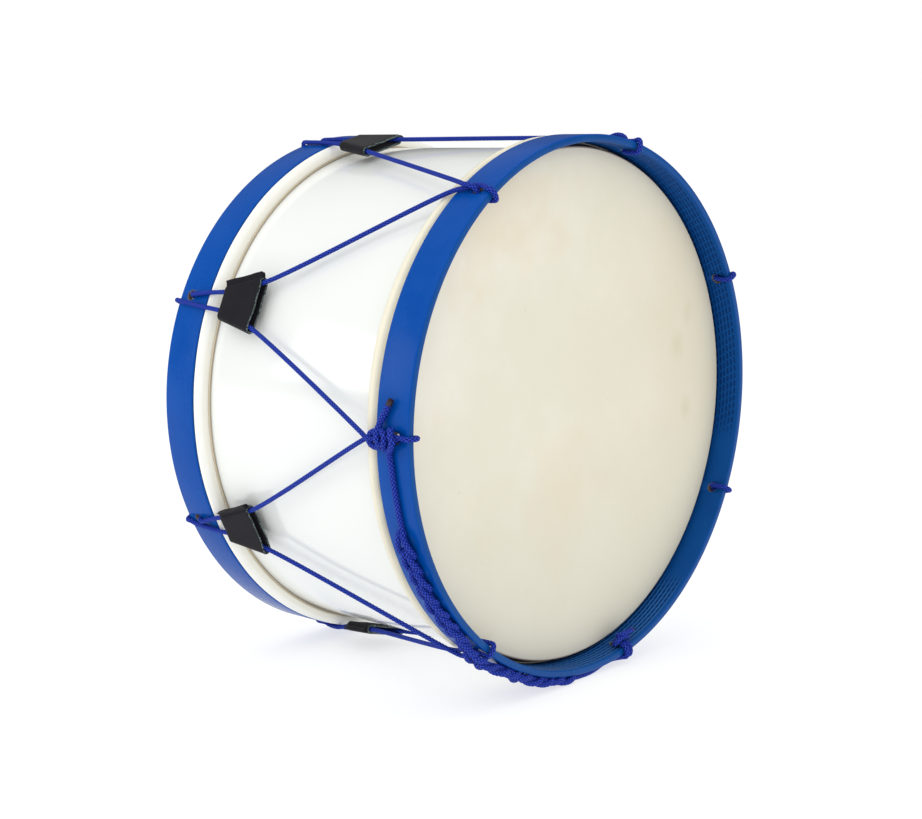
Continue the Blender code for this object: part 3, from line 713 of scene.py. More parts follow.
def wavy(piece, amount, near, far, lip=0.0):
    """Pushes a lapped hoop's crest in and out a little, as skin wound by hand lies, and sinks its lip."""
    for vertex in piece.data.vertices:
        away = vertex.co + piece.location - AXIS
        radius = hypot(away.x, away.z)
        turn = atan2(away.z, away.x)
        crest = clamped((radius - CREST_FROM) / 0.003)
        wave = sin(5 * turn + 0.7) * 0.5 + sin(11 * turn + 2.1) * 0.3 + sin(23 * turn) * 0.2
        scale = 1 + crest * amount * wave / radius
        edge = clamped((away.y - near) / (far - near))
        vertex.co.y += crest * edge * 0.0004 * sin(7 * turn + 1.3)
        if lip and away.y < near + LIP_WIDTH:
            window = max(0.0, 1 - ((degrees(turn) % 360 - LIP_MIDDLE) / 30) ** 2)
            ragged = 0.75 + 0.25 * sin(31 * turn) + 0.2 * sin(53 * turn + 1)
            fade = clamped((near + LIP_WIDTH - away.y) / 0.002)
            scale *= 1 - min(lip * window * ragged * fade, max(0.0, radius - 0.1772)) / radius
        vertex.co.x = away.x * scale + AXIS.x - piece.location.x
        vertex.co.z = away.z * scale + AXIS.z - piece.location.z


# Round each lapped hoop's section: radius, and distance behind the counterhoop
FRONT_LAP = (
    (0.1766, 0.0102),
    (0.1800, 0.0101),
    (0.1819, 0.0094),
    (0.1829, 0.0080),
    (0.1831, 0.0054),
    (0.1826, 0.0040),
    (0.1814, 0.0029),
    (0.1801, 0.0022),
    (0.1797, 0.0016),
    (0.1803, 0.0010),
    (0.1812, 0.0006),
    (0.1814, 0.0002),
    (0.1806, 0.0),
    (0.1766, 0.0),
)
REAR_LAP = (
    (0.1765, 0.0080),
    (0.1772, 0.0080),
    (0.1784, 0.0074),
    (0.1800, 0.0063),
    (0.1816, 0.0050),
    (0.1829, 0.0037),
    (0.1837, 0.0025),
    (0.1837, 0.0014),
    (0.1828, 0.0006),
    (0.1812, 0.0001),
    (0.1766, 0.0),
)


def make_flesh_hoops(front_skin, rear_skin):
    near = HOOP_WIDTH + GAP
    front, rear = ([(radius, near + behind) for radius, behind in lap] for lap in (FRONT_LAP, REAR_LAP))
    hoop = spun(front, True)
    wavy(hoop, 0.0004, near, near + 0.009, 0.0042)
    settle(hoop, "front_flesh_hoop_skin", front_skin, nodes=["front_flesh_hoop"])
    hoop = spun(from_rear(rear), True)
    wavy(hoop, 0.00025, DRUM_LENGTH, DRUM_LENGTH + 1)
    settle(hoop, "rear_flesh_hoop_skin", rear_skin, nodes=["rear_flesh_hoop"])


# Cords

BRAID_STRANDS = 5
BRAID_PITCH = 0.0026
BRAID_DEPTH = 0.0003
SLACK_CORD = 1.18 * CORD / 2
CORD_SIDES = 24
CORD_STEP = 0.0005


def lengths_along(line):
    return np.concatenate([[0], np.cumsum(np.linalg.norm(np.diff(line, axis=0), axis=1))])


def smooth_line(points, step):
    """Even points along a smooth curve through the given ones, however unevenly those are spaced."""
    given = np.array([tuple(point) for point in points])
    first = 2 * given[0] - given[1]
    last = 2 * given[-1] - given[-2]
    given = np.vstack([first, given, last])
    line = []
    for index in range(1, len(given) - 2):
        corners = given[index - 1 : index + 3]
        knots = [0.0]
        for before, after in zip(corners, corners[1:]):
            knots.append(knots[-1] + max(np.linalg.norm(after - before), 1e-6) ** 0.5)
        count = max(3, int(np.linalg.norm(corners[2] - corners[1]) / step * 1.5))
        for share in np.arange(count) / count:
            t = knots[1] + share * (knots[2] - knots[1])
            layer = list(corners)
            for level in (1, 2, 3):
                merged = []
                for low in range(4 - level):
                    start = knots[low] if level < 3 else knots[low + 1]
                    end = knots[low + level] if level < 3 else knots[low + 2]
                    part = (t - start) / (end - start)
                    merged.append(layer[low] * (1 - part) + layer[low + 1] * part)
                layer = merged
            line.append(layer[0])
    line.append(given[-2])
    line = np.array(line)
    lengths = lengths_along(line)
    count = max(4, int(round(lengths[-1] / step)) + 1)
    even = np.linspace(0, lengths[-1], count)
    return np.column_stack([np.interp(even, lengths, line[:, axis]) for axis in range(3)])


def frames_along(line):
    """Two directions across a line that turn with it and never twist."""
    ahead = np.gradient(line, axis=0)
    ahead /= np.linalg.norm(ahead, axis=1)[:, None]
    across = np.cross(ahead[0], (0.31, 0.47, 0.83))
    across /= np.linalg.norm(across)
    sides = np.empty_like(line)
    for index, direction in enumerate(ahead):
        across = across - direction * np.dot(across, direction)
        across /= np.linalg.norm(across)
        sides[index] = across
    return sides, np.cross(ahead, sides)


def braided_tube(name, route, radius=CORD / 2, ends=(0.0, 0.0), slack_at_hoop=False):
    """A braided cord as a mesh: strands stand proud, and cord_map holds turns round and metres along it."""
    line = smooth_line([spot(*place) for place in route], CORD_STEP)
    if slack_at_hoop:
        near = np.clip((FRONT_Y + 0.024 - line[:, 1]) / 0.012, 0, 1)
        radius = (radius * (1 + 0.1 * near))[:, None]
    sides, ups = frames_along(line)
    count = len(line)
    lengths = lengths_along(line)
    around = np.arange(CORD_SIDES) / CORD_SIDES * tau
    phase, travel = np.meshgrid(around, lengths * tau / BRAID_PITCH)
    over = np.cos(BRAID_STRANDS * phase)
    one = (0.5 + 0.5 * np.cos(BRAID_STRANDS * phase + travel)) * (0.7 + 0.3 * over)
    two = (0.5 + 0.5 * np.cos(BRAID_STRANDS * phase - travel)) * (0.7 - 0.3 * over)
    reach = radius - BRAID_DEPTH + BRAID_DEPTH * np.maximum(one, two)
    taper = np.ones(count)
    for end, at_start in zip(ends, (True, False)):
        if end:
            distance = lengths - lengths[0] if at_start else lengths[-1] - lengths
            taper *= np.sqrt(np.clip(distance / end, 0.02, 1) * (2 - np.clip(distance / end, 0.02, 1)))
    reach = reach * taper[:, None]
    ring = sides[:, None, :] * np.cos(around)[None, :, None] + ups[:, None, :] * np.sin(around)[None, :, None]
    places = (line[:, None, :] + ring * reach[:, :, None]).reshape(-1, 3)
    index = np.arange(count * CORD_SIDES).reshape(count, CORD_SIDES)
    ahead_index = np.roll(index, -1, axis=1)
    walls = np.stack([index[:-1], ahead_index[:-1], ahead_index[1:], index[1:]], axis=-1).reshape(-1, 4)
    faces = [*walls.tolist(), index[0][::-1].tolist(), index[-1].tolist()]
    mesh = bpy.data.meshes.new(name)
    mesh.from_pydata(places.tolist(), [], faces)
    cord_map = mesh.uv_layers.new(name="cord_map")
    turns = np.tile(np.arange(CORD_SIDES) / CORD_SIDES, count - 1)
    low = np.repeat(lengths[:-1], CORD_SIDES)
    high = np.repeat(lengths[1:], CORD_SIDES)
    wide = 1 / CORD_SIDES
    corner_pairs = ((turns, low), (turns + wide, low), (turns + wide, high), (turns, high))
    corners = np.stack([np.stack(pair, axis=-1) for pair in corner_pairs], axis=1).reshape(-1, 2)
    caps = np.zeros((2 * CORD_SIDES, 2))
    cord_map.data.foreach_set("uv", np.vstack([corners, caps]).ravel())
    mesh.shade_smooth()
    return add_object(name, mesh)


# How far a cord's turn stands before the rim that it passes over
RIM_OVERHANG = 0.0024


def over_rim(angle, rim, inwards):
    """The turn of a cord round a hoop's rim: rim is the rim's place along the drum, inwards +1 or -1."""
    route = []
    middle = (CORD_OUT + CORD_IN) / 2
    reach = (CORD_OUT - CORD_IN) / 2
    for step in range(9):
        turn = radians(22.5 * step)
        route.append((middle + reach * cos(turn), angle, rim - inwards * RIM_OVERHANG * sin(turn)))
    return route


def into_hole(angle, beside, rim, inwards):
    """The run inside a hoop, from beside the hole to the middle of the wall within it."""
    hole = rim + inwards * HOLE_INSET
    return [
        (CORD_IN, angle + 0.62 * beside, hole - inwards * 0.0055),
        (CORD_IN + 0.0003, angle + 0.22 * beside, hole - inwards * 0.0016),
        (HOOP_INNER - 0.0011, angle, hole - inwards * 0.0001),
        (HOOP_INNER + 0.0006, angle, hole),
        (HOOP_MIDDLE, angle, hole),
    ]


def front_hole(number):
    """A front hole's angle. Number 0 holds the first knot, and the others follow round."""
    return FIRST_REAR_HOLE + SPACING / 2 - number * SPACING + FRONT_HOLE_SHIFTS[number % RUNS]


def rear_hole(run):
    return FIRST_REAR_HOLE - run * SPACING + REAR_HOLE_SHIFTS[run]


def tug_centre(run):
    return rear_hole(run) + degrees_round(TUGS_BESIDE_HOLES[run])


def tug_ends(run):
    """How far behind the front rim a tug's front and rear edges are."""
    rear = DRUM_LENGTH - TUGS_FROM_REAR_RIM[run]
    return rear - TUG_LENGTH, rear


def tug_values(run):
    """The legs' radius and half angle at the tug's rear and front."""
    press = 0.0
    if run == LOWEST_TUG:
        half_turn = TUG_FRONT_LEGS / 2 / TUG_FRONT_RADIUS
        leather_inside = TUG_FRONT_RADIUS * cos(half_turn) - CORD / 2 - GAP - TUG_LEATHER
        press = leather_inside - SHELL_RADIUS - LOWEST_TUG_OFF_SHELL
    rear_radius = TUG_REAR_RADIUS - press
    front_radius = TUG_FRONT_RADIUS - press
    rear_half = degrees_round(TUG_REAR_LEGS / 2, rear_radius)
    front_half = degrees_round(TUG_FRONT_LEGS / 2, front_radius)
    return rear_radius, front_radius, rear_half, front_half


def out_of_front_hole(number):
    """A leg's start: out of its hole, then over the leg that passes beside the hole."""
    hole = front_hole(number) + degrees_round(LEG_OFF_HOLE_MIDDLE)
    start = [
        (HOOP_MIDDLE + GAP, hole, HOLE_INSET),
        (HOOP_OUTER - 0.0003, hole, HOLE_INSET),
    ]
    if number == 0:
        crossing = HOLE_INSET + KNOTTED_CROSSING
        return [
            *start,
            (CORD_OUT - 0.0008, hole, HOLE_INSET + 0.0006),
            (CORD_OUT + 0.0001, hole + 0.02, HOLE_INSET + 0.0025),
            (CORD_OUT + 0.0002, hole + 0.03, crossing - 0.0095),
            (CORD_TOP - 0.0015, hole, crossing - 0.0048),
            (CORD_TOP - 0.0001, hole - 0.1, crossing - 0.001),
            (CORD_TOP + 0.0001, hole - 0.35, crossing + 0.0015),
            (CORD_TOP - 0.0001, hole - 0.9, crossing + 0.0045),
        ]
    crossing = HOLE_INSET + CROSSING_BEHIND_HOLE
    return [
        *start,
        (HOOP_OUTER + 0.0019, hole, HOLE_INSET + 0.0004),
        (HOOP_OUTER + 0.0037, hole + 0.02, HOLE_INSET + 0.0018),
        (CORD_TOP - 0.0007, hole + 0.02, HOLE_INSET + 0.0038),
        (CORD_TOP - 0.0001, hole, crossing - 0.0032),
        (CORD_TOP + 0.0001, hole - 0.1, crossing),
        (CORD_TOP - 0.0001, hole - 0.6, crossing + 0.004),
    ]


def into_front_hole(number):
    """A leg's end: beside the hole, over the rim and back into the hole from inside."""
    hole = front_hole(number)
    leg = degrees_round(LEG_OFF_HOLE_MIDDLE)
    beside = degrees_round(CORD + GAP) - leg
    rim = degrees_round(LOOP_AT_FRONT_RIM)
    crossing = HOLE_INSET + (KNOTTED_CROSSING if number == RUNS else CROSSING_BEHIND_HOLE)
    rim += degrees_round(LOOPS_FURTHER_ROUND[number % RUNS])
    if number == RUNS:
        beside_hole = [
            (CORD_OUT, hole - 0.75 * beside, crossing - 0.0078),
            (CORD_OUT + 0.0010, hole - 0.7 * beside, HOLE_INSET + 0.0042),
            (CORD_OUT + 0.0018, hole - 0.6 * beside, HOLE_INSET + 0.0005),
            (CORD_OUT + 0.0010, hole - 0.45 * beside, 0.0060),
            (CORD_OUT + 0.0001, hole - 0.3 * beside, 0.0030),
        ]
    else:
        beside_hole = [
            (CORD_OUT, hole - 1.03 * beside, crossing - 0.0078),
            (CORD_OUT, hole - 1.03 * beside, HOLE_INSET + 0.0008),
            (CORD_OUT, hole - 0.85 * beside, HOLE_INSET - 0.0033),
            (CORD_OUT, hole - 0.05 * beside, 0.0032),
        ]
    return [
        (CORD_OUT + 0.0003, hole + 1.4, crossing + 0.0082),
        (CORD_OUT, hole + 0.15, crossing),
        (CORD_OUT, hole - 0.55 * beside, crossing - 0.004),
        *beside_hole,
        *over_rim(hole + rim, 0, 1),
        *into_hole(hole + leg, rim - leg, 0, 1),
    ]


def lacing_parts(run):
    """One V of lacing in three parts that meet inside its tug: front leg, rear turn and other front leg."""
    hole = rear_hole(run)
    beside = degrees_round(LOOPS_BESIDE_REAR_HOLES[run])
    rim = degrees_round(LOOPS_AT_REAR_RIM[run])
    centre = tug_centre(run)
    tug_front, tug_rear = tug_ends(run)
    rear_radius, front_radius, rear_half, front_half = tug_values(run)
    hole_along = DRUM_LENGTH - HOLE_INSET
    off_hoop = DRUM_LENGTH - HOOP_WIDTH - 0.001
    mouth = TUG_MOUTH / TUG_LENGTH
    bend_radius = front_radius + mouth * (front_radius - rear_radius)
    bend_half = front_half + mouth * (front_half - rear_half)
    middle_radius = (front_radius + rear_radius) / 2
    middle_half = (front_half + rear_half) / 2
    middle = (tug_front + tug_rear) / 2
    share = (off_hoop - tug_rear) / (hole_along - tug_rear)
    loop_at_edge = centre + rear_half + share * (hole + beside - centre - rear_half)
    leg_at_edge = centre - rear_half + share * (hole - centre + rear_half)
    first_leg = [
        (bend_radius, centre + bend_half, tug_front - TUG_MOUTH),
        (middle_radius, centre + middle_half, middle),
    ]
    rear_turn = [
        (middle_radius, centre + middle_half, middle),
        (rear_radius, centre + rear_half, tug_rear),
        (CORD_OUT + 0.0001, loop_at_edge, off_hoop),
        (CORD_OUT, hole + beside, hole_along - 0.0015),
        (CORD_OUT, hole + 0.8 * beside + 0.2 * rim, hole_along + 0.0034),
        (CORD_OUT, hole + 0.2 * beside + 0.8 * rim, DRUM_LENGTH - 0.003),
        *over_rim(hole + rim, DRUM_LENGTH, -1),
        *into_hole(hole, rim, DRUM_LENGTH, -1),
        (HOOP_OUTER - 0.0010, hole - 0.1, hole_along - 0.0010),
        (HOOP_OUTER + 0.0007, hole - 0.15, hole_along - 0.0019),
        (HOOP_OUTER + 0.0016, hole - 0.15, hole_along - 0.0030),
        (CORD_OUT + 0.0002, hole, hole_along - 0.0044),
        (CORD_OUT + 0.0001, leg_at_edge, off_hoop),
        (rear_radius, centre - rear_half, tug_rear),
        (middle_radius, centre - middle_half, middle),
    ]
    second_leg = [
        (middle_radius, centre - middle_half, middle),
        (bend_radius, centre - bend_half, tug_front - TUG_MOUTH),
    ]
    return [*out_of_front_hole(run), *first_leg], rear_turn, [*second_leg, *into_front_hole(run + 1)]


def make_lacing(run, cord):
    """The three parts of one V, each laid as its own cord in place of the lacing's node."""
    tug = f"tug_body_{run + 1}"
    node = f"lacing_{run + 1}"
    first, rear, second = lacing_parts(run)
    tug_front, tug_rear = tug_ends(run)
    front_start = Vector((0, FRONT_Y + tug_front, 0))
    front_end = Vector((0, FRONT_Y + HOOP_WIDTH + 0.008, 0))
    rear_start = Vector((0, FRONT_Y + DRUM_LENGTH - HOOP_WIDTH - 0.001, 0))
    rear_end = Vector((0, FRONT_Y + tug_rear, 0))
    parts = (
        ("first_leg", first, tug, "drum", front_start, front_end),
        ("rear_turn", rear, "drum", tug, rear_start, rear_end),
        ("second_leg", second, tug, "drum", front_start, front_end),
    )
    for part, route, from_body, to_body, start, end in parts:
        piece = braided_tube(f"{node}_{part}", route, slack_at_hoop=True)
        piece.data.materials.append(cord)
        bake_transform(piece)
        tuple(start)
        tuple(end)
        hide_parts(node)


# Strap and knots

CHAIN_START = -162.0
CHAIN_END = -96.0
CHAIN_LOOPS = 17
CHAIN_BEHIND_RIM = 0.0122
CHAIN_DRIFT = 0.0085
TAIL_OVER_RIM = -78.1

# The lead's angle and its place behind the rim, from the start knot to the chain
LEAD_ROUTE = (
    (-176.4, 0.0139),
    (-175.4, 0.0133),
    (-173.4, 0.0128),
    (-170.9, 0.0124),
    (-168.5, 0.0121),
    (-165.5, 0.0120),
    (-162.0, 0.0122),
)


def strap_along(angle):
    """How far behind the front rim the strap lies: it drifts to the rim as it nears the floor."""
    share = clamped((angle - CHAIN_START) / (CHAIN_END - CHAIN_START))
    return CHAIN_BEHIND_RIM - CHAIN_DRIFT * eased(min(1, share / 0.55))


def strap_lift(angle):
    """How far the chain rises to clear the turn of lacing that it crosses."""
    crossed = front_hole(6)
    rise = CORD_OUT + CORD / 2 + GAP - HOOP_OUTER - 0.0005
    return rise * eased(clamped((8.0 - abs(angle - crossed)) / 6.4))


def chain_line():
    """The surplus cord looped into a chain: each loop is drawn through the one before it."""
    arc = radians(CHAIN_END - CHAIN_START) * HOOP_OUTER
    pitch = arc / (CHAIN_LOOPS + 0.55)
    arm = (
        (0.02, 0.0013, -0.0009),
        (0.14, 0.0016, 0.0008),
        (0.34, 0.0020, 0.0019),
        (0.62, 0.0032, 0.0021),
        (0.95, 0.0041, 0.0014),
        (1.22, 0.0043, 0.0000),
        (1.44, 0.0034, -0.0010),
        (1.57, 0.0014, -0.0012),
    )
    out_arm = [(forward, -across, out) for forward, across, out in arm]
    behind = [(0.25, 0.0004, -0.0012), (0.75, -0.0006, -0.0012)]
    loop = [*out_arm, *reversed(arm), *behind]
    route = []
    middle = HOOP_OUTER + 0.0031
    for number in range(CHAIN_LOOPS):
        sway = 0.0004 * sin(number * 2.4) + 0.0003 * sin(number * 5.1 + 1)
        turn = 0.2 * sin(number * 1.7 + 0.4) + 0.12 * sin(number * 4.3)
        full = 1 + 0.07 * sin(number * 3.1 + 2)
        for forward, across, out in loop:
            angle = min(CHAIN_START + degrees((number + forward) * pitch / HOOP_OUTER), CHAIN_END)
            turned_across = full * across * cos(turn) - out * sin(turn)
            turned_out = max(-0.0012, full * across * sin(turn) + out * cos(turn))
            low = clamped((angle + 112) / 10)
            radius = middle - 0.0008 * low + strap_lift(angle) + turned_out * (1 - 0.2 * low)
            route.append((radius, angle, strap_along(angle) + turned_across + sway))
    return route


def press_flat(piece):
    """Presses what would reach under the floor up to it."""
    for vertex in piece.data.vertices:
        if vertex.co.z < 0.0:
            vertex.co.z = 0.00002


def lay_cord(name, node, route, radius, cord, ends=(0.0, 0.0), on_floor=False, singed=None):
    """Lays a cord along a route in place of a node; singed is the cut end's place, its reach and its finish."""
    piece = braided_tube(name, route, radius, ends)
    piece.data.materials.append(cord)
    if on_floor:
        press_flat(piece)
    if singed:
        tip, reach, burnt = singed
        singe(piece, spot(*tip), reach, burnt)
    settle(piece, name, cord, nodes=[node])


def singe(piece, tip, reach, material):
    """Gives the faces near a cord's cut end the singed finish."""
    piece.data.materials.append(material)
    for face in piece.data.polygons:
        if (face.center - tip).length < reach:
            face.material_index = 1


def make_strap(cord):
    lead = [(STRAP_RADIUS, angle, along) for angle, along in LEAD_ROUTE]
    lay_cord("strap_lead_braid", "strap_lead", lead, SLACK_CORD, cord)
    lay_cord("strap_chain_loops", "strap_chain", chain_line(), SLACK_CORD, cord, on_floor=True)
    across = strap_along(CHAIN_END)
    rim = TAIL_OVER_RIM
    tail = [
        (STRAP_RADIUS, CHAIN_END - 2.2, across),
        (STRAP_RADIUS, CHAIN_END, across),
        (STRAP_RADIUS, CHAIN_END + 2.6, across - 0.0002),
        (STRAP_RADIUS, CHAIN_END + 6, across + 0.0002),
        (STRAP_RADIUS, CHAIN_END + 9.6, across + 0.0022),
        (STRAP_RADIUS, CHAIN_END + 12, across + 0.0037),
        (STRAP_RADIUS, rim - 4, across + 0.004),
        (STRAP_RADIUS, rim - 2.2, across + 0.003),
        (STRAP_RADIUS, rim - 1.1, across + 0.0008),
        (STRAP_RADIUS - 0.0001, rim - 0.3, across - 0.002),
        *over_rim(rim, 0, 1),
        (CORD_IN, rim + 0.05, 0.0025),
    ]
    lay_cord("strap_tail_braid", "strap_tail", tail, SLACK_CORD, cord, on_floor=True)


# Each knot's turns: radius, degrees from its own place on the hoop, and distance behind the front rim
START_KNOT = (
    (0.1874, -7.35, 0.0124),
    (0.1870, -5.88, 0.0152),
    (0.1868, -4.40, 0.0179),
    (0.1872, -3.03, 0.0202),
    (0.1892, -1.76, 0.0206),
    (0.1908, -0.72, 0.0203),
    (0.1906, 0.39, 0.0200),
    (0.1882, 1.52, 0.0203),
    (0.1870, 2.00, 0.0245),
    (0.1874, 1.55, 0.0283),
    (0.1880, 0.62, 0.0296),
    (0.1878, -0.45, 0.0283),
    (0.1872, -1.02, 0.0246),
    (0.1888, -1.18, 0.0184),
    (0.1904, -0.53, 0.0143),
    (0.1906, 0.56, 0.0141),
    (0.1890, 1.62, 0.0162),
    (0.1872, 2.07, 0.0159),
    (0.1862, 0.59, 0.0155),
    (0.1868, -1.09, 0.0136),
    (0.1888, -1.63, 0.0102),
    (0.1906, -0.71, 0.0090),
    (0.1908, 0.33, 0.0076),
    (0.1896, 1.45, 0.0093),
    (0.1872, 2.55, 0.0134),
    (STRAP_RADIUS, 3.55, 0.0142),
    (STRAP_RADIUS, 4.2, 0.0137),
)
END_KNOT = (
    (CORD_IN, 0.05, 0.0020),
    (0.1765, 0.6, 0.0036),
    (0.1757, 0.5, 0.0062),
    (0.1760, -0.6, 0.0068),
    (0.1755, -1.3, 0.0045),
    (0.1735, -0.9, 0.0030),
    (0.1725, 0.6, 0.0026),
    (0.1735, 2.2, 0.0024),
    (0.1755, 2.9, 0.0030),
    (0.1752, 3.2, 0.0056),
    (0.1737, 2.2, 0.0072),
    (0.1722, 0.9, 0.0066),
    (0.1708, 0.4, 0.0042),
    (0.1703, 1.4, 0.0026),
    (0.1712, 3.0, 0.0022),
    (0.1722, 4.5, 0.0024),
    (0.1726, 5.4, 0.0026),
)


def make_knots(cord, burnt):
    knots = (
        ("start_knot", START_KNOT, front_hole(0), 1.08, (0.0014, 0.0), 0, 0.005),
        ("end_knot", END_KNOT, TAIL_OVER_RIM, 0.95, (0.0, 0.0012), -1, 0.0028),
    )
    for node, turns, place, fullness, ends, cut_end, reach in knots:
        route = [(radius, place + beside, along) for radius, beside, along in turns]
        singed = (route[cut_end], reach, burnt)
        lay_cord(node + "_braid", node, route, fullness * SLACK_CORD, cord, ends, singed=singed)


# Tugs


SLEEVE_SIDES = 64
SEAM_LIFTS = (0.0018, -0.0022, 0.0016, 0.0012, 0.0016, 0.0, 0.0018)
SLEEVE_RINGS = 14


def sleeve_point(number, near_leg, far_leg, half):
    """One of the points round a sleeve: over one leg, along its outer layer, over the other leg and back inside."""
    quarter = SLEEVE_SIDES // 4
    side, step = divmod(number, quarter)
    share = step / quarter
    turn = radians(180 * share)
    if side == 0:
        return near_leg + half * sin(turn), -half * cos(turn)
    if side == 2:
        return -far_leg - half * sin(turn), half * cos(turn)
    span = near_leg + far_leg
    dip = 0.0002 * sin(pi * share) ** 2
    if side == 1:
        return near_leg - span * share, half - dip
    return -far_leg + span * share, -half + dip


def pulled_tube(sides, rings):
    """A circle of points pulled out ring by ring into an open tube one metre long."""
    deselect()
    bpy.ops.mesh.primitive_circle_add(vertices=sides, radius=1, fill_type="NOTHING")
    edit_all()
    for _ in range(rings):
        bpy.ops.mesh.extrude_region_move(TRANSFORM_OT_translate={"value": (0, 0, 1 / rings)})
    bpy.ops.object.mode_set(mode="OBJECT")
    return bpy.context.object


def tug_frame(run):
    """Two functions of a tug's share from rear to front: a point on it, and its legs' distance from its middle."""
    rear_radius, front_radius, rear_half, front_half = tug_values(run)
    centre = radians(tug_centre(run))
    sideways = Vector((-sin(centre), 0, cos(centre)))
    outwards = Vector((cos(centre), 0, sin(centre)))
    rear_turn, front_turn = radians(rear_half), radians(front_half)
    rear_height = rear_radius * cos(rear_turn)
    front_height = front_radius * cos(front_turn)
    rear_legs = rear_radius * sin(rear_turn)
    front_legs = front_radius * sin(front_turn)

    def at(share, side, out, along):
        height = rear_height + (front_height - rear_height) * share
        return spot(0, 0, along) + outwards * (height + out) + sideways * side

    def legs(share):
        return rear_legs + (front_legs - rear_legs) * share

    return at, legs


def smooth_edges(piece, width):
    soften = piece.modifiers.new("Soft edges", "BEVEL")
    soften.width = width
    soften.segments = 2
    soften.limit_method = "ANGLE"
    soften.angle_limit = radians(50)
    use_modifiers(piece)
    edit_all()
    turn_faces_out()
    bpy.ops.object.shade_smooth_by_angle(angle=radians(38))


def make_tug(run, suede, cut_edge):
    """A strip of leather round both legs of one V, its ends pressed together into a seam on one side."""
    at, legs = tug_frame(run)
    half = CORD / 2 + 0.0003
    tug_rear = tug_ends(run)[1]
    tug = pulled_tube(SLEEVE_SIDES, SLEEVE_RINGS)
    for number, vertex in enumerate(tug.data.vertices):
        ring, place = divmod(number, SLEEVE_SIDES)
        share = ring / SLEEVE_RINGS
        slack = 0.0022 * (1 - share) + 0.0004
        side, out = sleeve_point(place, legs(share) + slack, legs(share), half)
        inner_layer = 0.5 - 0.5 * out / half
        belly = 0.0008 * max(0.0, 1 - (side / (legs(share) + 0.001)) ** 2)
        reach = -0.0008 + 0.0006 * inner_layer + belly
        wave = 0.0003 * sin(side * 400 + run * 1.9)
        along = tug_rear - share * TUG_LENGTH - share**4 * (reach + wave)
        vertex.co = at(share, side, out, along)
    tug.data.materials.append(suede)
    tug.data.materials.append(cut_edge)
    leather = tug.modifiers.new("Leather", "SOLIDIFY")
    leather.thickness = TUG_LEATHER
    leather.offset = 1.0
    leather.use_even_offset = True
    leather.use_rim = True
    leather.material_offset_rim = 1
    use_modifiers(tug)
    smooth_edges(tug, 0.00035)
    body = f"tug_body_{run + 1}"
    node = f"tug_{run + 1}"
    settle(tug, node + "_leather", suede, body=body, nodes=[node])
    make_tug_seam(run, suede, at, legs, body)


SEAM_LAYER = 0.0013
SEAM_SECTION = ((0, 0), (0.35, 0), (0.7, 0), (1, 0), (1, 1), (0.7, 1), (0.35, 1), (0, 1))


def make_tug_seam(run, suede, at, legs, body):
    """The strip's two ends, pressed together and standing out beyond the leg."""
    tug_rear = tug_ends(run)[1]
    sides = len(SEAM_SECTION)
    seam = pulled_tube(sides, SLEEVE_RINGS)
    for number, vertex in enumerate(seam.data.vertices):
        ring, place = divmod(number, sides)
        share = ring / SLEEVE_RINGS
        outward, upper = SEAM_SECTION[place]
        side = -legs(share) - 0.0022 - 0.0038 * outward - 0.0002 * sin(share * 9 + run)
        lift = SEAM_LIFTS[run] * outward**2
        out = -0.0003 + SEAM_LAYER * upper + lift
        along = tug_rear + 0.0002 - share * (TUG_LENGTH - 0.0004)
        vertex.co = at(share, side, out, along)
    edit_all()
    bpy.ops.mesh.edge_face_add()
    bpy.ops.mesh.select_all(action="SELECT")
    shift = at(0, 0, SEAM_LAYER + 0.0003, tug_rear) - at(0, 0, 0, tug_rear)
    bpy.ops.mesh.duplicate_move(TRANSFORM_OT_translate={"value": shift})
    bpy.ops.object.mode_set(mode="OBJECT")
    smooth_edges(seam, 0.00022)
    seam.data.materials.append(suede)
    settle(seam, f"tug_{run + 1}_seam", suede, body=body)


# Studio


DRUM_MIDDLE = (0, 0, 0.18)
# Name, place, aim, size and watts
SOFT_LIGHTS = (
    ("key_light", (-1.4, 0.3, 1.9), DRUM_MIDDLE, (1.2, 1.2), 5),
    ("fill_light", (-1.2, -1.9, 0.9), DRUM_MIDDLE, (1.6, 1.2), 2.5),
    ("top_light", (0.4, -0.4, 2.2), DRUM_MIDDLE, (1.6, 1.6), 3),
    ("back_light", (0.3, 1.1, 2.0), DRUM_MIDDLE, (2.2, 2.2), 3),
    ("side_light", (-0.525, 0.245, 0.345), (-0.18, -0.1, 0.23), (0.24, 0.2), 0.3),
)


def add_soft_light(name, place, aim, size, power):
    light_data = bpy.data.lights.new(name, "AREA")
    light_data.shape = "RECTANGLE"
    light_data.size, light_data.size_y = size
    light_data.energy = power
    light = add_object(name, light_data)
    light.visible_camera = False
    light.location = place
    light.rotation_euler = (Vector(aim) - Vector(place)).to_track_quat("-Z", "Y").to_euler()


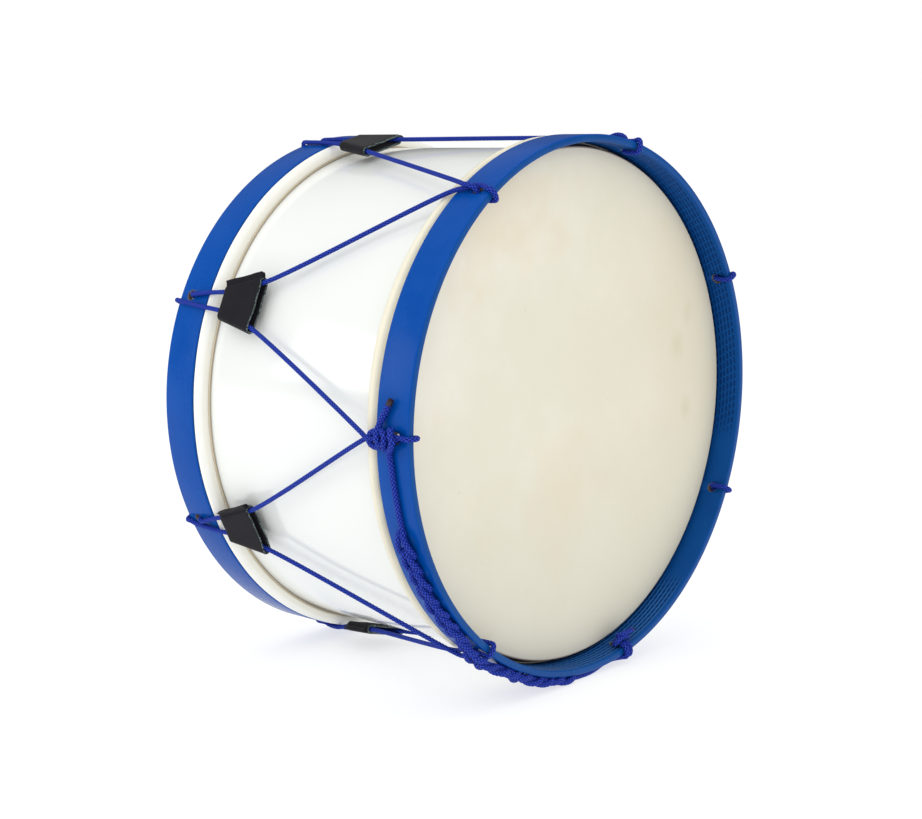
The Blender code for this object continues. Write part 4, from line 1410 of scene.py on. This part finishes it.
def make_studio(paper):
    """White paper under the drum, a white world that shines reflect only faintly, and the soft lights."""
    deselect()
    bpy.ops.mesh.primitive_plane_add(size=40, location=(0, 0, -0.00005))
    floor = bpy.context.object
    floor.name = "studio_floor"
    floor.data.materials.append(paper)
    world = bpy.data.worlds.new("studio_world")
    bpy.context.scene.world = world
    world.use_nodes = True
    nodes = world.node_tree.nodes
    links = world.node_tree.links
    nodes["Background"].inputs[0].default_value = (1, 1, 1, 1)
    rays = nodes.new("ShaderNodeLightPath")
    strength = nodes.new("ShaderNodeMath")
    strength.operation = "MULTIPLY_ADD"
    strength.inputs[1].default_value = -0.86
    strength.inputs[2].default_value = 1.0
    links.new(rays.outputs["Is Glossy Ray"], strength.inputs[0])
    links.new(strength.outputs[0], nodes["Background"].inputs[1])
    for light in SOFT_LIGHTS:
        add_soft_light(*light)
    bpy.context.scene.view_settings.view_transform = "Standard"


def main():
    place_camera()
    cord = braided_cord()
    for run in range(RUNS):
        make_lacing(run, cord)
    make_strap(cord)
    make_knots(cord, singed_end())
    make_shell(white_lacquer())
    skirt = HOOP_WIDTH + GAP + SKIRT_BEHIND_HOOP
    front_end = skirt + FRONT_FLESH_WIDTH + FRONT_SKIRT_BEYOND
    rear_end = skirt + REAR_FLESH_WIDTH + REAR_SKIRT_BEYOND
    cream, cream_dark = tint(238, 234, 220), tint(228, 224, 206)
    front_skin = drum_skin("front_skin", cream, cream_dark, front_end)
    rear_skin = drum_skin("rear_skin", cream, cream_dark, rear_end)
    make_head("front_head", head_outline(front_end), front_skin, front_end)
    make_head("rear_head", from_rear(head_outline(rear_end)), rear_skin)
    make_flesh_hoops(
        # The front lap's third colour is painted shade for its recess
        lapped_skin("front_lapped_skin", tint(240, 236, 217), tint(224, 217, 192), tint(160, 154, 138)),
        # The rear lap is lighter than the front as painted light against the shade in its recess; its third colour is
        # a milder painted shade
        lapped_skin("rear_lapped_skin", tint(250, 250, 246), tint(241, 240, 230), tint(226, 221, 200)),
    )
    blue = blue_lacquer("blue_lacquer", 0.12, 0.2, 0.32)
    blue_inside = blue_lacquer("blue_lacquer_inside", 0.05, 0.4, 0.55)
    wood = bare_wood()
    rear_angles = [rear_hole(run) for run in range(RUNS)]
    front_angles = [front_hole(number) for number in range(RUNS)]
    make_counterhoop("front_counterhoop", 0, front_angles, HOLE_INSET, blue, blue_inside, wood)
    rear_near = DRUM_LENGTH - HOOP_WIDTH
    rear_holes = DRUM_LENGTH - HOLE_INSET
    make_counterhoop("rear_counterhoop", rear_near, rear_angles, rear_holes, blue, blue_inside, wood)
    leather = black_suede(), cut_leather()
    for run in range(RUNS):
        make_tug(run, *leather)
    make_studio(studio_paper())


main()
